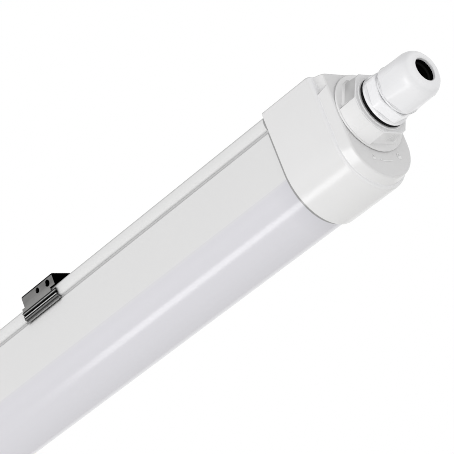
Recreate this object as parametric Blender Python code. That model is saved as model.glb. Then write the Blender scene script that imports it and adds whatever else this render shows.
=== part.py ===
"""Vapor tight LED batten for a ceiling, with a twist-lock wiring cover and a cable gland.

Metres, +Z up. X runs along the tube, towards the cable gland. The ceiling is the plane z = 0, and the origin
is there at the middle of the tube. Pieces of an end are placed from that end cap's rim, outwards along X.
"""

import math

import bmesh
import bpy

# Gaps, and how far a cutter reaches past what it cuts
FIT = 0.0003
OVERRUN = 0.002
BITE = 0.0003
MERGE = 0.000002
SMOOTH_ANGLE = math.radians(32)

# Housing tube: one extrusion, flat on top with a rail along each edge, and round below
TUBE_LENGTH = 1.140
TUBE_WIDTH = 0.0444
TUBE_HEIGHT = 0.0563
TUBE_SHOULDER = 0.0305
TUBE_WALL = 0.0016
TUBE_ROOF = 0.0018
OPAL_DEPTH = 0.0333
RAIL_SWELL = 0.0004
RAIL_HEIGHT = 0.0063
RAIL_BACKING = 0.0030
RAIL_ROUND = 0.0014
RAIL_LIP = 0.0004
GROOVE_MOUTH = 0.0022
GROOVE_FLOOR = 0.0012
GROOVE_DEPTH = 0.0011
BACKING_DROP = 0.0015
TRAY_DEPTH = 0.0300
TRAY_LIP = 0.0020
TRAY_LIP_THICKNESS = 0.0012

# End caps: a skirt over the tube, a body, and a raised D-shaped front plate
CAP_OVERLAP = 0.010
CAP_DEPTH = 0.0334
SKIRT_WALL = 0.0013
SKIRT_ROOF = 0.0009
CAP_CORNER = 0.0012
CAP_RIM_EDGE = 0.0004
CAP_ROUND = 0.0020
CAP_ROUND_TOP = 0.0005
CAP_WALL = 0.0028
CAP_FRONT_WALL = 0.0024
FOOT_RISE = 0.0005
FOOT_DROP = 0.0040
PLATE_RAISE = 0.0056
PLATE_INSET = 0.0042
PLATE_TOP_INSET = 0.0018
PLATE_BOTTOM_INSET = 0.0032
PLATE_DROP = 0.0059
PLATE_EDGE = 0.0005
PLATE_CORNER = 0.0008
PLATE_WALL = 0.0026
POCKET_DEPTH = 0.0100
POCKET_FRONT_DEPTH = 0.0075
GASKET_THICKNESS = 0.0012

# Twist collar and its bayonet socket, round the gland's axis
AXIS_DEPTH = 0.0224
COLLAR_RADIUS = 0.0205
COLLAR_RIM = 0.0010
COLLAR_EDGE = 0.0003
HUB_RADIUS = 0.0140
HUB_HEIGHT = 0.0093
WING_ACROSS_FLATS = 0.0310
WING_CORNER_RADIUS = 0.0169
WING_END_RADIUS = 0.0165
WING_DRAFT = 0.0004
WING_FILLET = 0.0012
WING_FOOT = 0.0005
BAR_HALF_WIDTH = 0.0106
BAR_TOP_RADIUS = 0.0168
BAR_ANGLE = math.radians(210)
SPIGOT_LENGTH = 0.0145
SPIGOT_RADIUS = 0.0146
SPIGOT_WALL = 0.0022
COLLAR_WEB = 0.0084
SOCKET_CLEARANCE = 0.0004
SOCKET_WALL = 0.0032
SOCKET_LENGTH = 0.0155
LUG_HEIGHT = 0.0020
LUG_THICKNESS = 0.0038
LUG_SPREAD = math.radians(20)
LUG_CLEARANCE = 0.0004
TRACK_PLAY = math.radians(2)
TWIST = math.radians(45)
COVER_SEAL_WIDTH = 0.0018
COVER_SEAL_DEPTH = 0.0014
COVER_SEAL_BACK = 0.0025

# Cable gland: body, bush, ring seal, slip ring and nut
RING_THICKNESS = 0.0015
RING_RADIUS = 0.0132
FLANGE_THICKNESS = 0.0015
GLAND_HEX_HEIGHT = 0.0062
GLAND_ACROSS_FLATS = 0.0238
GLAND_FLAT_ANGLE = math.radians(230)
GLAND_CHAMFER = 0.0004
LOWER_THREAD_RADIUS = 0.0099
LOWER_THREAD_LENGTH = 0.0102
UPPER_THREAD_RADIUS = 0.0100
UPPER_THREAD_LENGTH = 0.0086
CLAW_LENGTH = 0.0065
CLAW_TIP_RADIUS = 0.0091
CLAW_SLOT = 0.0012
CLAW_PAIRS = 4
GLAND_BORE = 0.0066
BUSH_SEAT_RADIUS = 0.0078
BUSH_SEAT_BACK = 0.0027
BUSH_LENGTH = 0.0196
BUSH_BORE = 0.0050
BUSH_EDGE = 0.0006
NUT_LIP_RADIUS = 0.0119
NUT_LIP_LENGTH = 0.0010
NUT_NECK_RADIUS = 0.0115
NUT_NECK_LENGTH = 0.0005
NUT_RADIUS = 0.0130
NUT_DOME_RADIUS = 0.0123
NUT_ACROSS_FLATS = 0.0238
NUT_STRAIGHT = 0.0114
NUT_DOME = 0.0074
NUT_MOUTH_RADIUS = 0.0060
NUT_MOUTH_RIM = 0.0014
NUT_EDGE = 0.0004
SLIP_RING_BORE = 0.0061
SLIP_RING_RADIUS = 0.0086
SLIP_RING_THICKNESS = 0.0011

# Spring clip: web on the ceiling, two legs, and grips that snap into the rail grooves
CLIP_STAND = 0.0061
CLIP_SHEET = 0.0007
CLIP_FROM_RIM = 0.178
CLIP_BEND = 0.0012
CLIP_PLATE_LENGTH = 0.0253
CLIP_GRIP_EXTRA = 0.0022
CLIP_PLATE_HEIGHT = 0.0064
CLIP_NOTCH_HEIGHT = 0.0018
CLIP_NOTCH_LENGTH = 0.0038
CLIP_LEG = 0.0085
CLIP_BEAD = 0.0009
CLIP_LIP_OUT = 0.0005
CLIP_LIP_DROP = 0.0011
CLIP_FOLD_SHARES = ((1, 0.13), (0, 0.40), (0.85, 0.54), (0.45, 0.64), (0.8, 0.77))
CLIP_SCREW_HOLE = 0.0045
CLIP_SCREW_SPACING = 0.0130
SIDE_HOLE = 0.0030
SIDE_HOLE_DEPTH = 0.0032
END_HOLE = 0.0037
END_HOLE_DEPTH = 0.0035
END_HOLE_OFFSET = 0.0083

# Gear tray, LED boards and rivets
TRAY_SHEET = 0.0012
TRAY_REACH = 0.0080
TRAY_FIN_HEIGHT = 0.0050
TRAY_FIN_THICKNESS = 0.0010
TRAY_FIN_OFFSET = 0.0165
BOARD_WIDTH = 0.0220
BOARD_SHEET = 0.0012
BOARD_END_GAP = 0.0060
BOARD_JOINT_GAP = 0.0030
LED_COUNT = 20
LED_LENGTH = 0.0035
LED_WIDTH = 0.0028
LED_HEIGHT = 0.0007
RIVET_RADIUS = 0.0015
RIVET_HEAD_RADIUS = 0.0027
RIVET_HEAD = 0.0009
RIVET_INSET = 0.0300
RIVET_SIDE = 0.0075
LINK_LENGTH = 0.0140
LINK_WIDTH = 0.0080
LINK_HEIGHT = 0.0025
LINK_SIDE = 0.0044
LINK_EDGE = 0.0005

# Driver
DRIVER_LENGTH = 0.170
DRIVER_WIDTH = 0.0300
DRIVER_HEIGHT = 0.0210
DRIVER_WALL = 0.0012
DRIVER_FROM_RIM = 0.060
PLUG_LENGTH = 0.0080
PLUG_SPIGOT = 0.0050
PLUG_FOOT = 0.0022
PLUG_FOOT_WIDTH = 0.0070
PLUG_FOOT_LENGTH = 0.0080
DRIVER_SCREW_RADIUS = 0.0014
DRIVER_SCREW_HEAD = 0.0027
DRIVER_SCREW_HEAD_HEIGHT = 0.0018
DRIVER_BOARD_SHEET = 0.0016
DRIVER_BOARD_INSET = 0.0012
CHOKE_LENGTH = 0.0260
CHOKE_WIDTH = 0.0180
CHOKE_HEIGHT = 0.0120
CAPACITOR_RADIUS = 0.0050
CAPACITOR_HEIGHT = 0.0130
CAPACITOR_SPACING = 0.0140

# Terminal block, earth point and leads
BLOCK_LENGTH = 0.0140
BLOCK_WIDTH = 0.0270
BLOCK_HEIGHT = 0.0170
BLOCK_FRONT = 0.0110
BLOCK_PITCH = 0.0085
BLOCK_EDGE = 0.0010
BLOCK_PEG_RADIUS = 0.0016
BLOCK_PEG_LENGTH = 0.0024
ENTRY_RADIUS = 0.0019
ENTRY_DEPTH = 0.0070
EXIT_DEPTH = 0.0030
ENTRY_HEIGHT = 0.0075
CLAMP_RADIUS = 0.0018
CLAMP_LENGTH = 0.0042
CLAMP_SUNK = 0.0006
CLAMP_SLOT = 0.0006
LEAD_RADIUS = 0.0011
LEAD_INSERT = 0.0022
LIVE_SIDE = 0.0060
NEUTRAL_SIDE = 0.0038
LEAD_STRAIGHT_SHARE = 0.15
LEAD_CREST_SHARE = 0.45
THIN_LEAD_RADIUS = 0.0008
THIN_LEAD_SIDE = 0.0050
THIN_LEAD_HEIGHT = 0.0070
THIN_LEAD_REACH = 0.0160
THIN_STRAIGHT_SHARE = 0.2
THIN_TURN_SHARE = 0.7
EARTH_SCREW_RADIUS = 0.0015
EARTH_HEAD_RADIUS = 0.0029
EARTH_HEAD = 0.0018
EARTH_LUG_RADIUS = 0.0036
EARTH_LUG_SHEET = 0.0008
EARTH_TAIL_LENGTH = 0.0070
EARTH_FROM_BLOCK = 0.0150
EARTH_SIDE = 0.0105

# Steps round a curve
CORNER_STEPS = 3
BELLY_STEPS = 24
RAIL_STEPS = 3
ROUND_STEPS = 3
TURN_STEPS = 36
SMALL_TURN_STEPS = 12
PIN_STEPS = 8
DOME_STEPS = 5
WING_STEPS = 3

# Levels and half widths that several pieces share
TUBE_HALF = TUBE_WIDTH / 2
RAIL_HALF = TUBE_HALF + RAIL_SWELL
TUBE_TOP = -CLIP_STAND
TUBE_BOTTOM = TUBE_TOP - TUBE_HEIGHT
SHOULDER = TUBE_TOP - TUBE_SHOULDER
CAP_TOP = TUBE_TOP + FIT + SKIRT_ROOF
CAP_HALF = RAIL_HALF + FIT + SKIRT_WALL
CAP_BOTTOM = TUBE_BOTTOM - FIT - SKIRT_WALL
RIM_X = TUBE_LENGTH / 2 - CAP_OVERLAP
PLATE_FRONT = CAP_DEPTH + PLATE_RAISE
AXIS_Z = CAP_TOP - AXIS_DEPTH
TRAY_TOP = TUBE_TOP - TRAY_DEPTH
TRAY_BOTTOM = TRAY_TOP - TRAY_SHEET
TRAY_HALF = TUBE_HALF - TUBE_WALL - FIT
DECK = TRAY_TOP + FIT
BOARD_TOP = TRAY_BOTTOM - FIT
BOARD_BOTTOM = BOARD_TOP - BOARD_SHEET
GROOVE_TOP = TUBE_TOP - RAIL_HEIGHT
GROOVE_MIDDLE = GROOVE_TOP - GROOVE_MOUTH / 2


def clear_scene():
    for old in list(bpy.data.objects):
        bpy.data.objects.remove(old, do_unlink=True)


def material(name, colour, roughness, metallic=0.0):
    made = bpy.data.materials.new(name)
    made.use_nodes = True
    shader = made.node_tree.nodes["Principled BSDF"]
    shader.inputs["Base Color"].default_value = (*colour, 1.0)
    shader.inputs["Roughness"].default_value = roughness
    shader.inputs["Metallic"].default_value = metallic
    made.diffuse_color = (*colour, 1.0)
    return made


def empty(name, location, turn=0.0):
    made = bpy.data.objects.new(name, None)
    made.location = location
    made.rotation_euler = (0, 0, turn)
    bpy.context.scene.collection.objects.link(made)
    return made


def finish(bm, name, look=None, parent=None, location=(0, 0, 0)):
    """Turns a bmesh into an object with outward faces."""
    bmesh.ops.remove_doubles(bm, verts=bm.verts, dist=MERGE)
    bmesh.ops.recalc_face_normals(bm, faces=bm.faces)
    mesh = bpy.data.meshes.new(name)
    bm.to_mesh(mesh)
    bm.free()
    mesh.shade_smooth()
    made = bpy.data.objects.new(name, mesh)
    made.location = location
    made.parent = parent
    if look:
        mesh.materials.append(look)
    bpy.context.scene.collection.objects.link(made)
    return made


def shade_by_angle():
    """A node group that keeps an edge sharp where its faces turn by more than the angle."""
    group = bpy.data.node_groups.new("shade by angle", "GeometryNodeTree")
    group.interface.new_socket("Geometry", in_out="INPUT", socket_type="NodeSocketGeometry")
    group.interface.new_socket("Geometry", in_out="OUTPUT", socket_type="NodeSocketGeometry")
    start = group.nodes.new("NodeGroupInput")
    end = group.nodes.new("NodeGroupOutput")
    turn = group.nodes.new("GeometryNodeInputMeshEdgeAngle")
    gentle = group.nodes.new("FunctionNodeCompare")
    gentle.operation = "LESS_THAN"
    gentle.inputs["B"].default_value = SMOOTH_ANGLE
    shade = group.nodes.new("GeometryNodeSetShadeSmooth")
    shade.domain = "EDGE"
    group.links.new(start.outputs["Geometry"], shade.inputs["Geometry"])
    group.links.new(turn.outputs["Unsigned Angle"], gentle.inputs["A"])
    group.links.new(gentle.outputs["Result"], shade.inputs["Shade Smooth"])
    group.links.new(shade.outputs["Geometry"], end.inputs["Geometry"])
    return group


def shade_all():
    group = shade_by_angle()
    for made in bpy.context.scene.objects:
        if made.type == "MESH" and not made.hide_render:
            made.modifiers.new("shading", "NODES").node_group = group


def helper(made):
    """Hides an object that only shapes others."""
    made.hide_render = True
    made.display_type = "WIRE"
    return made


def combine(target, other, operation):
    made = target.modifiers.new(f"{operation.lower()} {other.name}", "BOOLEAN")
    made.operation = operation
    made.solver = "EXACT"
    made.object = helper(other)


def cut(target, other):
    combine(target, other, "DIFFERENCE")


def join(target, other):
    combine(target, other, "UNION")


def keep_inside(target, other):
    combine(target, other, "INTERSECT")


def loft(sections):
    """A closed skin through outlines of equal length. sections holds (x, outline of (y, z))."""
    bm = bmesh.new()
    rings = [[bm.verts.new((x, y, z)) for y, z in outline] for x, outline in sections]
    count = len(rings[0])
    for first, second in zip(rings, rings[1:]):
        for here in range(count):
            after = (here + 1) % count
            bm.faces.new((first[here], first[after], second[after], second[here]))
    bm.faces.new(rings[0][::-1])
    bm.faces.new(rings[-1])
    return bm


def extruded(outline, start, end):
    return loft([(start, outline), (end, outline)])


def turned(profile, steps=TURN_STEPS, first_flat=0.0):
    """Turns a closed profile of (x, radius) about the X axis. A third value, a distance across flats, makes
    a hexagon there with its corners cut at the radius. first_flat is the way that a flat faces."""
    bm = bmesh.new()
    rings = []
    for x, radius, *across in profile:
        ring = []
        for step in range(steps):
            angle = step / steps * math.tau
            away = (angle - first_flat + math.pi / 6) % (math.pi / 3) - math.pi / 6
            here = min([radius] + [flats / 2 / math.cos(away) for flats in across])
            ring.append(bm.verts.new((x, here * math.cos(angle), here * math.sin(angle))))
        rings.append(ring)
    for first, second in zip(rings, rings[1:] + rings[:1]):
        for here in range(steps):
            after = (here + 1) % steps
            bm.faces.new((first[here], first[after], second[after], second[here]))
    return bm


def rod(radius, start, end, steps=SMALL_TURN_STEPS):
    """A plain cylinder along X about the local origin."""
    outline = [
        (radius * math.cos(step / steps * math.tau), radius * math.sin(step / steps * math.tau))
        for step in range(steps)
    ]
    return extruded(outline, start, end)


def post(radius, middle, bottom, top, steps=SMALL_TURN_STEPS):
    """An upright cylinder at middle = (x, y)."""
    bm = bmesh.new()
    rings = []
    for z in (bottom, top):
        ring = []
        for step in range(steps):
            angle = step / steps * math.tau
            place = (middle[0] + radius * math.cos(angle), middle[1] + radius * math.sin(angle), z)
            ring.append(bm.verts.new(place))
        rings.append(ring)
    for here in range(steps):
        after = (here + 1) % steps
        bm.faces.new((rings[0][here], rings[0][after], rings[1][after], rings[1][here]))
    bm.faces.new(rings[0][::-1])
    bm.faces.new(rings[1])
    return bm


def pin(head_radius, head, shank_radius, middle, levels):
    """An upright headed pin: levels = (shank's end, under the head, over the head's side)."""
    bm = bmesh.new()
    end, under, over = levels
    crown = over + head / 3 if over > under else over - head / 3
    stations = [(shank_radius, end), (shank_radius, under), (head_radius, under), (head_radius, over)]
    stations.append((head_radius * 2 / 3, crown))
    rings = []
    for radius, z in stations:
        ring = []
        for step in range(PIN_STEPS):
            angle = step / PIN_STEPS * math.tau
            place = (middle[0] + radius * math.cos(angle), middle[1] + radius * math.sin(angle), z)
            ring.append(bm.verts.new(place))
        rings.append(ring)
    for first, second in zip(rings, rings[1:]):
        for here in range(PIN_STEPS):
            after = (here + 1) % PIN_STEPS
            bm.faces.new((first[here], first[after], second[after], second[here]))
    bm.faces.new(rings[0])
    bm.faces.new(rings[-1])
    return bm


def block(low, high, bm=None):
    """A box between two corners, added to bm where one is given."""
    bm = bm or bmesh.new()
    corners = bmesh.ops.create_cube(bm, size=1)["verts"]
    for corner in corners:
        corner.co = [low[i] if corner.co[i] < 0 else high[i] for i in range(3)]
    return bm


def sector(start, end, inner, outer, middle, spread, steps=6):
    """A stretch of a ring about X, between two radii, centred on the angle middle."""
    edge = []
    for radius, sweep in ((inner, range(steps + 1)), (outer, reversed(range(steps + 1)))):
        for step in sweep:
            angle = middle + (step / steps - 1 / 2) * spread
            edge.append((radius * math.cos(angle), radius * math.sin(angle)))
    return extruded(edge, start, end)


def d_outline(half, top, bottom, shoulder, corner):
    """Flat top, straight sides and a half ellipse below the shoulder, as (y, z)."""
    points = []
    for step in range(CORNER_STEPS + 1):
        angle = math.pi / 2 * (1 + step / CORNER_STEPS)
        points.append((-half + corner + corner * math.cos(angle), top - corner + corner * math.sin(angle)))
    for step in range(BELLY_STEPS + 1):
        angle = math.pi * (1 + step / BELLY_STEPS)
        points.append((half * math.cos(angle), shoulder + (shoulder - bottom) * math.sin(angle)))
    for step in range(CORNER_STEPS + 1):
        angle = math.pi / 2 * step / CORNER_STEPS
        points.append((half - corner + corner * math.cos(angle), top - corner + corner * math.sin(angle)))
    return points


def mirrored(side):
    """Closes the +Y half of an outline, given from the top down, with its mirror image."""
    return [(-y, z) for y, z in side if y] + side[::-1]


def belly(half, bottom):
    """The +Y quarter of the lower ellipse, from the shoulder down."""
    points = []
    for step in range(BELLY_STEPS // 2):
        angle = math.pi * step / BELLY_STEPS
        points.append((half * math.cos(angle), SHOULDER - (SHOULDER - bottom) * math.sin(angle)))
    return points


def tube_outer():
    side = []
    for step in range(CORNER_STEPS + 1):
        angle = math.pi / 2 * (1 - step / CORNER_STEPS)
        y = TUBE_HALF - RAIL_ROUND + RAIL_ROUND * math.cos(angle)
        side.append((y, TUBE_TOP - RAIL_ROUND + RAIL_ROUND * math.sin(angle)))
    face = RAIL_HEIGHT - RAIL_ROUND - RAIL_LIP
    for step in range(1, RAIL_STEPS + 1):
        swell = RAIL_SWELL * math.sin(math.pi * step / (RAIL_STEPS + 1))
        side.append((TUBE_HALF + swell, TUBE_TOP - RAIL_ROUND - face * step / (RAIL_STEPS + 1)))
    slope = (GROOVE_MOUTH - GROOVE_FLOOR) / 2
    side.append((TUBE_HALF, GROOVE_TOP + RAIL_LIP))
    side.append((TUBE_HALF - RAIL_LIP, GROOVE_TOP))
    side.append((TUBE_HALF - GROOVE_DEPTH, GROOVE_TOP - slope))
    side.append((TUBE_HALF - GROOVE_DEPTH, GROOVE_TOP - slope - GROOVE_FLOOR))
    side.append((TUBE_HALF, GROOVE_TOP - GROOVE_MOUTH))
    side += belly(TUBE_HALF, TUBE_BOTTOM)
    side.append((0, TUBE_BOTTOM))
    return mirrored(side)


def tube_inner():
    """The tube's bore, with thick backing behind the rails and two lips that hold the tray."""
    half = TUBE_HALF - TUBE_WALL
    lip = half - TRAY_LIP
    backing = TUBE_HALF - RAIL_BACKING
    backing_end = GROOVE_TOP - GROOVE_MOUTH - BACKING_DROP
    slot_top = TRAY_TOP + FIT
    slot_bottom = TRAY_BOTTOM - FIT
    foot = slot_bottom - TRAY_LIP_THICKNESS
    bottom = TUBE_BOTTOM + TUBE_WALL
    side = [(backing, TUBE_TOP - TUBE_ROOF), (backing, backing_end + BACKING_DROP), (half, backing_end)]
    side += [(half, slot_top + TRAY_LIP_THICKNESS), (lip, slot_top + TRAY_LIP_THICKNESS)]
    side += [(lip, slot_top), (half, slot_top), (half, slot_bottom), (lip, slot_bottom), (lip, foot)]
    fall = max(SHOULDER - foot, 0) / (SHOULDER - bottom)
    side.append((half * math.sqrt(1 - fall**2), foot))
    side += [point for point in belly(half, bottom) if point[1] < foot]
    side.append((0, bottom))
    return mirrored(side)


def make_tube(white, opal):
    half_length = TUBE_LENGTH / 2
    tube = finish(extruded(tube_outer(), -half_length, half_length), "housing_tube", white)
    tube.data.materials.append(opal)
    for face in tube.data.polygons:
        if face.center.z < TUBE_TOP - OPAL_DEPTH and abs(face.normal.x) < 1 / 2:
            face.material_index = 1
    bore = finish(extruded(tube_inner(), -half_length - OVERRUN, half_length + OVERRUN), "tube bore")
    cut(tube, bore)
    return tube


def cap_outline(side, top, bottom, drop, corner):
    """The cap's outline drawn in by side, top and bottom, with its shoulder lowered by drop."""
    return d_outline(CAP_HALF - side, CAP_TOP - top, CAP_BOTTOM + bottom, SHOULDER - drop, corner)


def cap_sections():
    """The cap's outside, from the rim over the rounded edge and up the drafted plate."""
    edge = CAP_RIM_EDGE
    found = [(0, cap_outline(edge, edge, edge, 0, CAP_CORNER))]
    found.append((edge, cap_outline(0, 0, 0, 0, CAP_CORNER)))
    for step in range(ROUND_STEPS + 1):
        angle = math.pi / 2 * step / ROUND_STEPS
        rise = CAP_ROUND * (1 - math.cos(angle))
        top = CAP_ROUND_TOP * (1 - math.cos(angle))
        x = CAP_DEPTH - CAP_ROUND * (1 - math.sin(angle))
        found.append((x, cap_outline(rise, top, rise, FOOT_DROP * step / ROUND_STEPS, CAP_CORNER)))
    lean = (PLATE_INSET - CAP_ROUND) / PLATE_RAISE
    for height in (FOOT_RISE, PLATE_RAISE - PLATE_EDGE):
        share = height / PLATE_RAISE
        side = CAP_ROUND + lean * height
        top = CAP_ROUND_TOP + (PLATE_TOP_INSET - CAP_ROUND_TOP) * share
        bottom = CAP_ROUND + (PLATE_BOTTOM_INSET - CAP_ROUND) * share
        drop = FOOT_DROP + (PLATE_DROP - FOOT_DROP) * share
        found.append((CAP_DEPTH + height, cap_outline(side, top, bottom, drop, PLATE_CORNER)))
    side = PLATE_INSET + PLATE_EDGE
    front = cap_outline(side, PLATE_TOP_INSET, PLATE_BOTTOM_INSET + PLATE_EDGE, PLATE_DROP, PLATE_CORNER)
    found.append((PLATE_FRONT, front))
    return found


def cut_pockets(cap, tag):
    """The pocket beside the plate at each top corner, where the draft is left out. Its floor slopes."""
    slope = (POCKET_DEPTH - POCKET_FRONT_DEPTH) / PLATE_RAISE
    reach = PLATE_RAISE + OVERRUN
    for side in (-1, 1):
        sections = []
        for height in (0, reach):
            bottom = CAP_TOP - POCKET_DEPTH + slope * height
            sections.append((CAP_DEPTH + height, pocket_outline(side, bottom)))
        cut(cap, finish(loft(sections), f"{tag} pocket {side}", parent=cap.parent))


def pocket_outline(side, bottom):
    inner = side * (CAP_HALF - PLATE_INSET)
    outer = side * (CAP_HALF + OVERRUN)
    top = CAP_TOP + OVERRUN
    return [(inner, bottom), (outer, bottom), (outer, top), (inner, top)]


def hollow_cap(cap, tag, lead_in):
    """The seat for the tube and gasket, and the wiring chamber with its core behind the plate."""
    seat_end = CAP_OVERLAP + GASKET_THICKNESS + FIT * 2
    seat = d_outline(RAIL_HALF + FIT, TUBE_TOP + FIT, TUBE_BOTTOM - FIT, SHOULDER, RAIL_ROUND)
    cut(cap, finish(extruded(seat, -OVERRUN, seat_end), f"{tag} seat", parent=cap.parent))
    chamber = chamber_outline()
    end = CAP_DEPTH - CAP_FRONT_WALL
    cut(cap, finish(extruded(chamber, lead_in, end), f"{tag} chamber", parent=cap.parent))
    side = PLATE_INSET + PLATE_WALL
    top = PLATE_TOP_INSET + PLATE_WALL
    core = cap_outline(side, top, PLATE_BOTTOM_INSET + PLATE_WALL, PLATE_DROP, CAP_CORNER)
    core_end = PLATE_FRONT - CAP_FRONT_WALL
    cut(cap, finish(extruded(core, lead_in, core_end), f"{tag} core", parent=cap.parent))


def chamber_outline():
    inset = CAP_WALL
    return d_outline(CAP_HALF - inset, CAP_TOP - inset, CAP_BOTTOM + inset, SHOULDER, CAP_CORNER)


def make_cap(name, parent, white):
    cap = finish(loft(cap_sections()), name, white, parent)
    hollow_cap(cap, name, -OVERRUN)
    cut_pockets(cap, name)
    return cap


def bayonet_socket(cap, parent):
    """A sleeve behind the plate, bored for the collar's spigot, with two L-shaped tracks for its lugs."""
    bore = SPIGOT_RADIUS + SOCKET_CLEARANCE
    back = PLATE_FRONT - SOCKET_LENGTH
    centre = (0, 0, AXIS_Z)
    sleeve = rod(bore + SOCKET_WALL, back, PLATE_FRONT - CAP_FRONT_WALL / 2, TURN_STEPS)
    join(cap, finish(sleeve, "sleeve", None, parent, centre))
    through = rod(bore, back - OVERRUN, PLATE_FRONT + OVERRUN, TURN_STEPS)
    cut(cap, finish(through, "socket bore", None, parent, centre))
    outer = SPIGOT_RADIUS + LUG_HEIGHT + SOCKET_CLEARANCE
    inner = SPIGOT_RADIUS
    low = lug_back() - LUG_CLEARANCE
    high = lug_back() + LUG_THICKNESS + LUG_CLEARANCE
    spread = LUG_SPREAD + TRACK_PLAY * 2
    for turn in (0, math.pi):
        locked = lug_angle() + turn
        run = sector(low, high, inner, outer, locked + TWIST / 2, spread + TWIST, 12)
        cut(cap, finish(run, f"track {turn:.0f}", None, parent, centre))
        entry = sector(low, PLATE_FRONT + OVERRUN, inner, outer, locked + TWIST, spread)
        cut(cap, finish(entry, f"entry {turn:.0f}", None, parent, centre))


def lug_angle():
    return BAR_ANGLE + math.pi / 2


def collar_back():
    return PLATE_FRONT + FIT


def spigot_end():
    return collar_back() - SPIGOT_LENGTH


def lug_back():
    return spigot_end() + LUG_CLEARANCE


def make_gasket(name, parent, rubber):
    start = CAP_OVERLAP + FIT
    outer = d_outline(RAIL_HALF, TUBE_TOP, TUBE_BOTTOM, SHOULDER, RAIL_ROUND)
    gasket = finish(extruded(outer, start, start + GASKET_THICKNESS), name, rubber, parent)
    opening = extruded(chamber_outline(), start - OVERRUN, start + GASKET_THICKNESS + OVERRUN)
    cut(gasket, finish(opening, f"{name} opening", parent=parent))
    return gasket


def collar_profile():
    back = collar_back()
    rim = back + COLLAR_RIM
    front = back + HUB_HEIGHT
    seal_front = back - COVER_SEAL_BACK
    seal_back = seal_front - COVER_SEAL_WIDTH - FIT * 2
    floor = SPIGOT_RADIUS - COVER_SEAL_DEPTH
    inner = SPIGOT_RADIUS - SPIGOT_WALL
    web = front - COLLAR_WEB
    bore = LOWER_THREAD_RADIUS + FIT
    edge = COLLAR_EDGE
    return [
        (spigot_end(), inner),
        (spigot_end(), SPIGOT_RADIUS),
        (seal_back, SPIGOT_RADIUS),
        (seal_back, floor),
        (seal_front, floor),
        (seal_front, SPIGOT_RADIUS),
        (back, SPIGOT_RADIUS),
        (back, COLLAR_RADIUS - edge),
        (back + edge, COLLAR_RADIUS),
        (rim - edge, COLLAR_RADIUS),
        (rim, COLLAR_RADIUS - edge),
        (rim + WING_FOOT, HUB_RADIUS),
        (front - edge, HUB_RADIUS),
        (front, HUB_RADIUS - edge),
        (front, bore),
        (web, bore),
        (web, inner),
    ]


def wing_outline(inset):
    """The hub's outline as (y, z): round ends along the bar, flats beside it and a corner across it."""
    flat = WING_ACROSS_FLATS / 2 - inset
    end = WING_END_RADIUS - inset
    corner = WING_CORNER_RADIUS - inset
    sweep = math.pi / 3 - math.acos(flat / end)
    chamfer = math.pi / 6 - math.acos(flat / corner)
    polar = []
    for side in (0, math.pi):
        for step in range(WING_STEPS + 1):
            polar.append((end, side + sweep * (step / WING_STEPS * 2 - 1)))
        polar.append((corner, side + math.pi / 2 - chamfer))
        polar.append((corner, side + math.pi / 2 + chamfer))
    turned_to_bar = [(radius, BAR_ANGLE + angle) for radius, angle in polar]
    return [(radius * math.cos(angle), radius * math.sin(angle)) for radius, angle in turned_to_bar]


def wings(parent):
    """The two flat-sided wings of the hub, as a ring round it, with a chamfered fillet at their foot."""
    rim = collar_back() + COLLAR_RIM
    top = collar_back() + HUB_HEIGHT - BITE
    sections = [(rim, wing_outline(-WING_DRAFT - WING_FILLET))]
    sections.append((rim + WING_FILLET, wing_outline(-WING_DRAFT)))
    sections.append((top - COLLAR_EDGE, wing_outline(0)))
    sections.append((top, wing_outline(COLLAR_EDGE)))
    body = finish(loft(sections), "wings", None, parent)
    middle = HUB_RADIUS - SPIGOT_WALL / 3
    cut(body, finish(rod(middle, rim - OVERRUN, top + OVERRUN, TURN_STEPS), "wing middle", None, parent))
    return body


def grip_bar(parent):
    """The bar across the hub: its two ends lean in from the collar's rim, and its sides are straight."""
    rim = collar_back() + COLLAR_RIM
    top = collar_back() + HUB_HEIGHT - BITE * 2
    inner = SPIGOT_RADIUS - SPIGOT_WALL / 2
    edge = COLLAR_EDGE
    foot = COLLAR_RADIUS - edge * 3 / 2
    cone = [(rim - BITE, inner), (rim - BITE, foot), (rim, foot)]
    cone += [(top - edge, BAR_TOP_RADIUS), (top, BAR_TOP_RADIUS - edge), (top, inner)]
    bar = finish(turned(cone), "grip bar", None, parent)
    reach = COLLAR_RADIUS + OVERRUN
    slab = block((rim - OVERRUN, -reach, -BAR_HALF_WIDTH), (top + OVERRUN, reach, BAR_HALF_WIDTH))
    slab = finish(slab, "grip bar sides", None, parent)
    slab.rotation_euler = (BAR_ANGLE, 0, 0)
    keep_inside(bar, slab)
    return bar


def make_collar(parent, white):
    """The twist collar: a thin rim, a winged hub with a bar across it, and a spigot with two lugs."""
    collar = finish(turned(collar_profile()), "twist_collar", white, parent)
    join(collar, wings(parent))
    join(collar, grip_bar(parent))
    back = lug_back()
    inner = SPIGOT_RADIUS - SPIGOT_WALL / 2
    outer = SPIGOT_RADIUS + LUG_HEIGHT
    for turn in (0, math.pi):
        lug = sector(back, back + LUG_THICKNESS, inner, outer, lug_angle() + turn, LUG_SPREAD)
        join(collar, finish(lug, f"lug {turn:.0f}", None, parent))
    return collar


def make_cover_seal(parent, rubber):
    front = collar_back() - COVER_SEAL_BACK - FIT
    inner = SPIGOT_RADIUS - COVER_SEAL_DEPTH + FIT * 2 / 3
    outer = SPIGOT_RADIUS + SOCKET_CLEARANCE - FIT * 2 / 3
    return make_ring("cover_seal", front - COVER_SEAL_WIDTH, front, inner, outer, parent, rubber)


def make_ring(name, back, front, inner, outer, parent, look):
    """A ring with rounded outer edges."""
    edge = min(front - back, outer - inner) / 4
    profile = [
        (back, inner),
        (back, outer - edge),
        (back + edge, outer),
        (front - edge, outer),
        (front, outer - edge),
        (front, inner),
    ]
    return finish(turned(profile), name, look, parent)


def ring_back():
    return collar_back() + HUB_HEIGHT + FIT


def flange_back():
    return ring_back() + RING_THICKNESS + FIT


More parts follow.
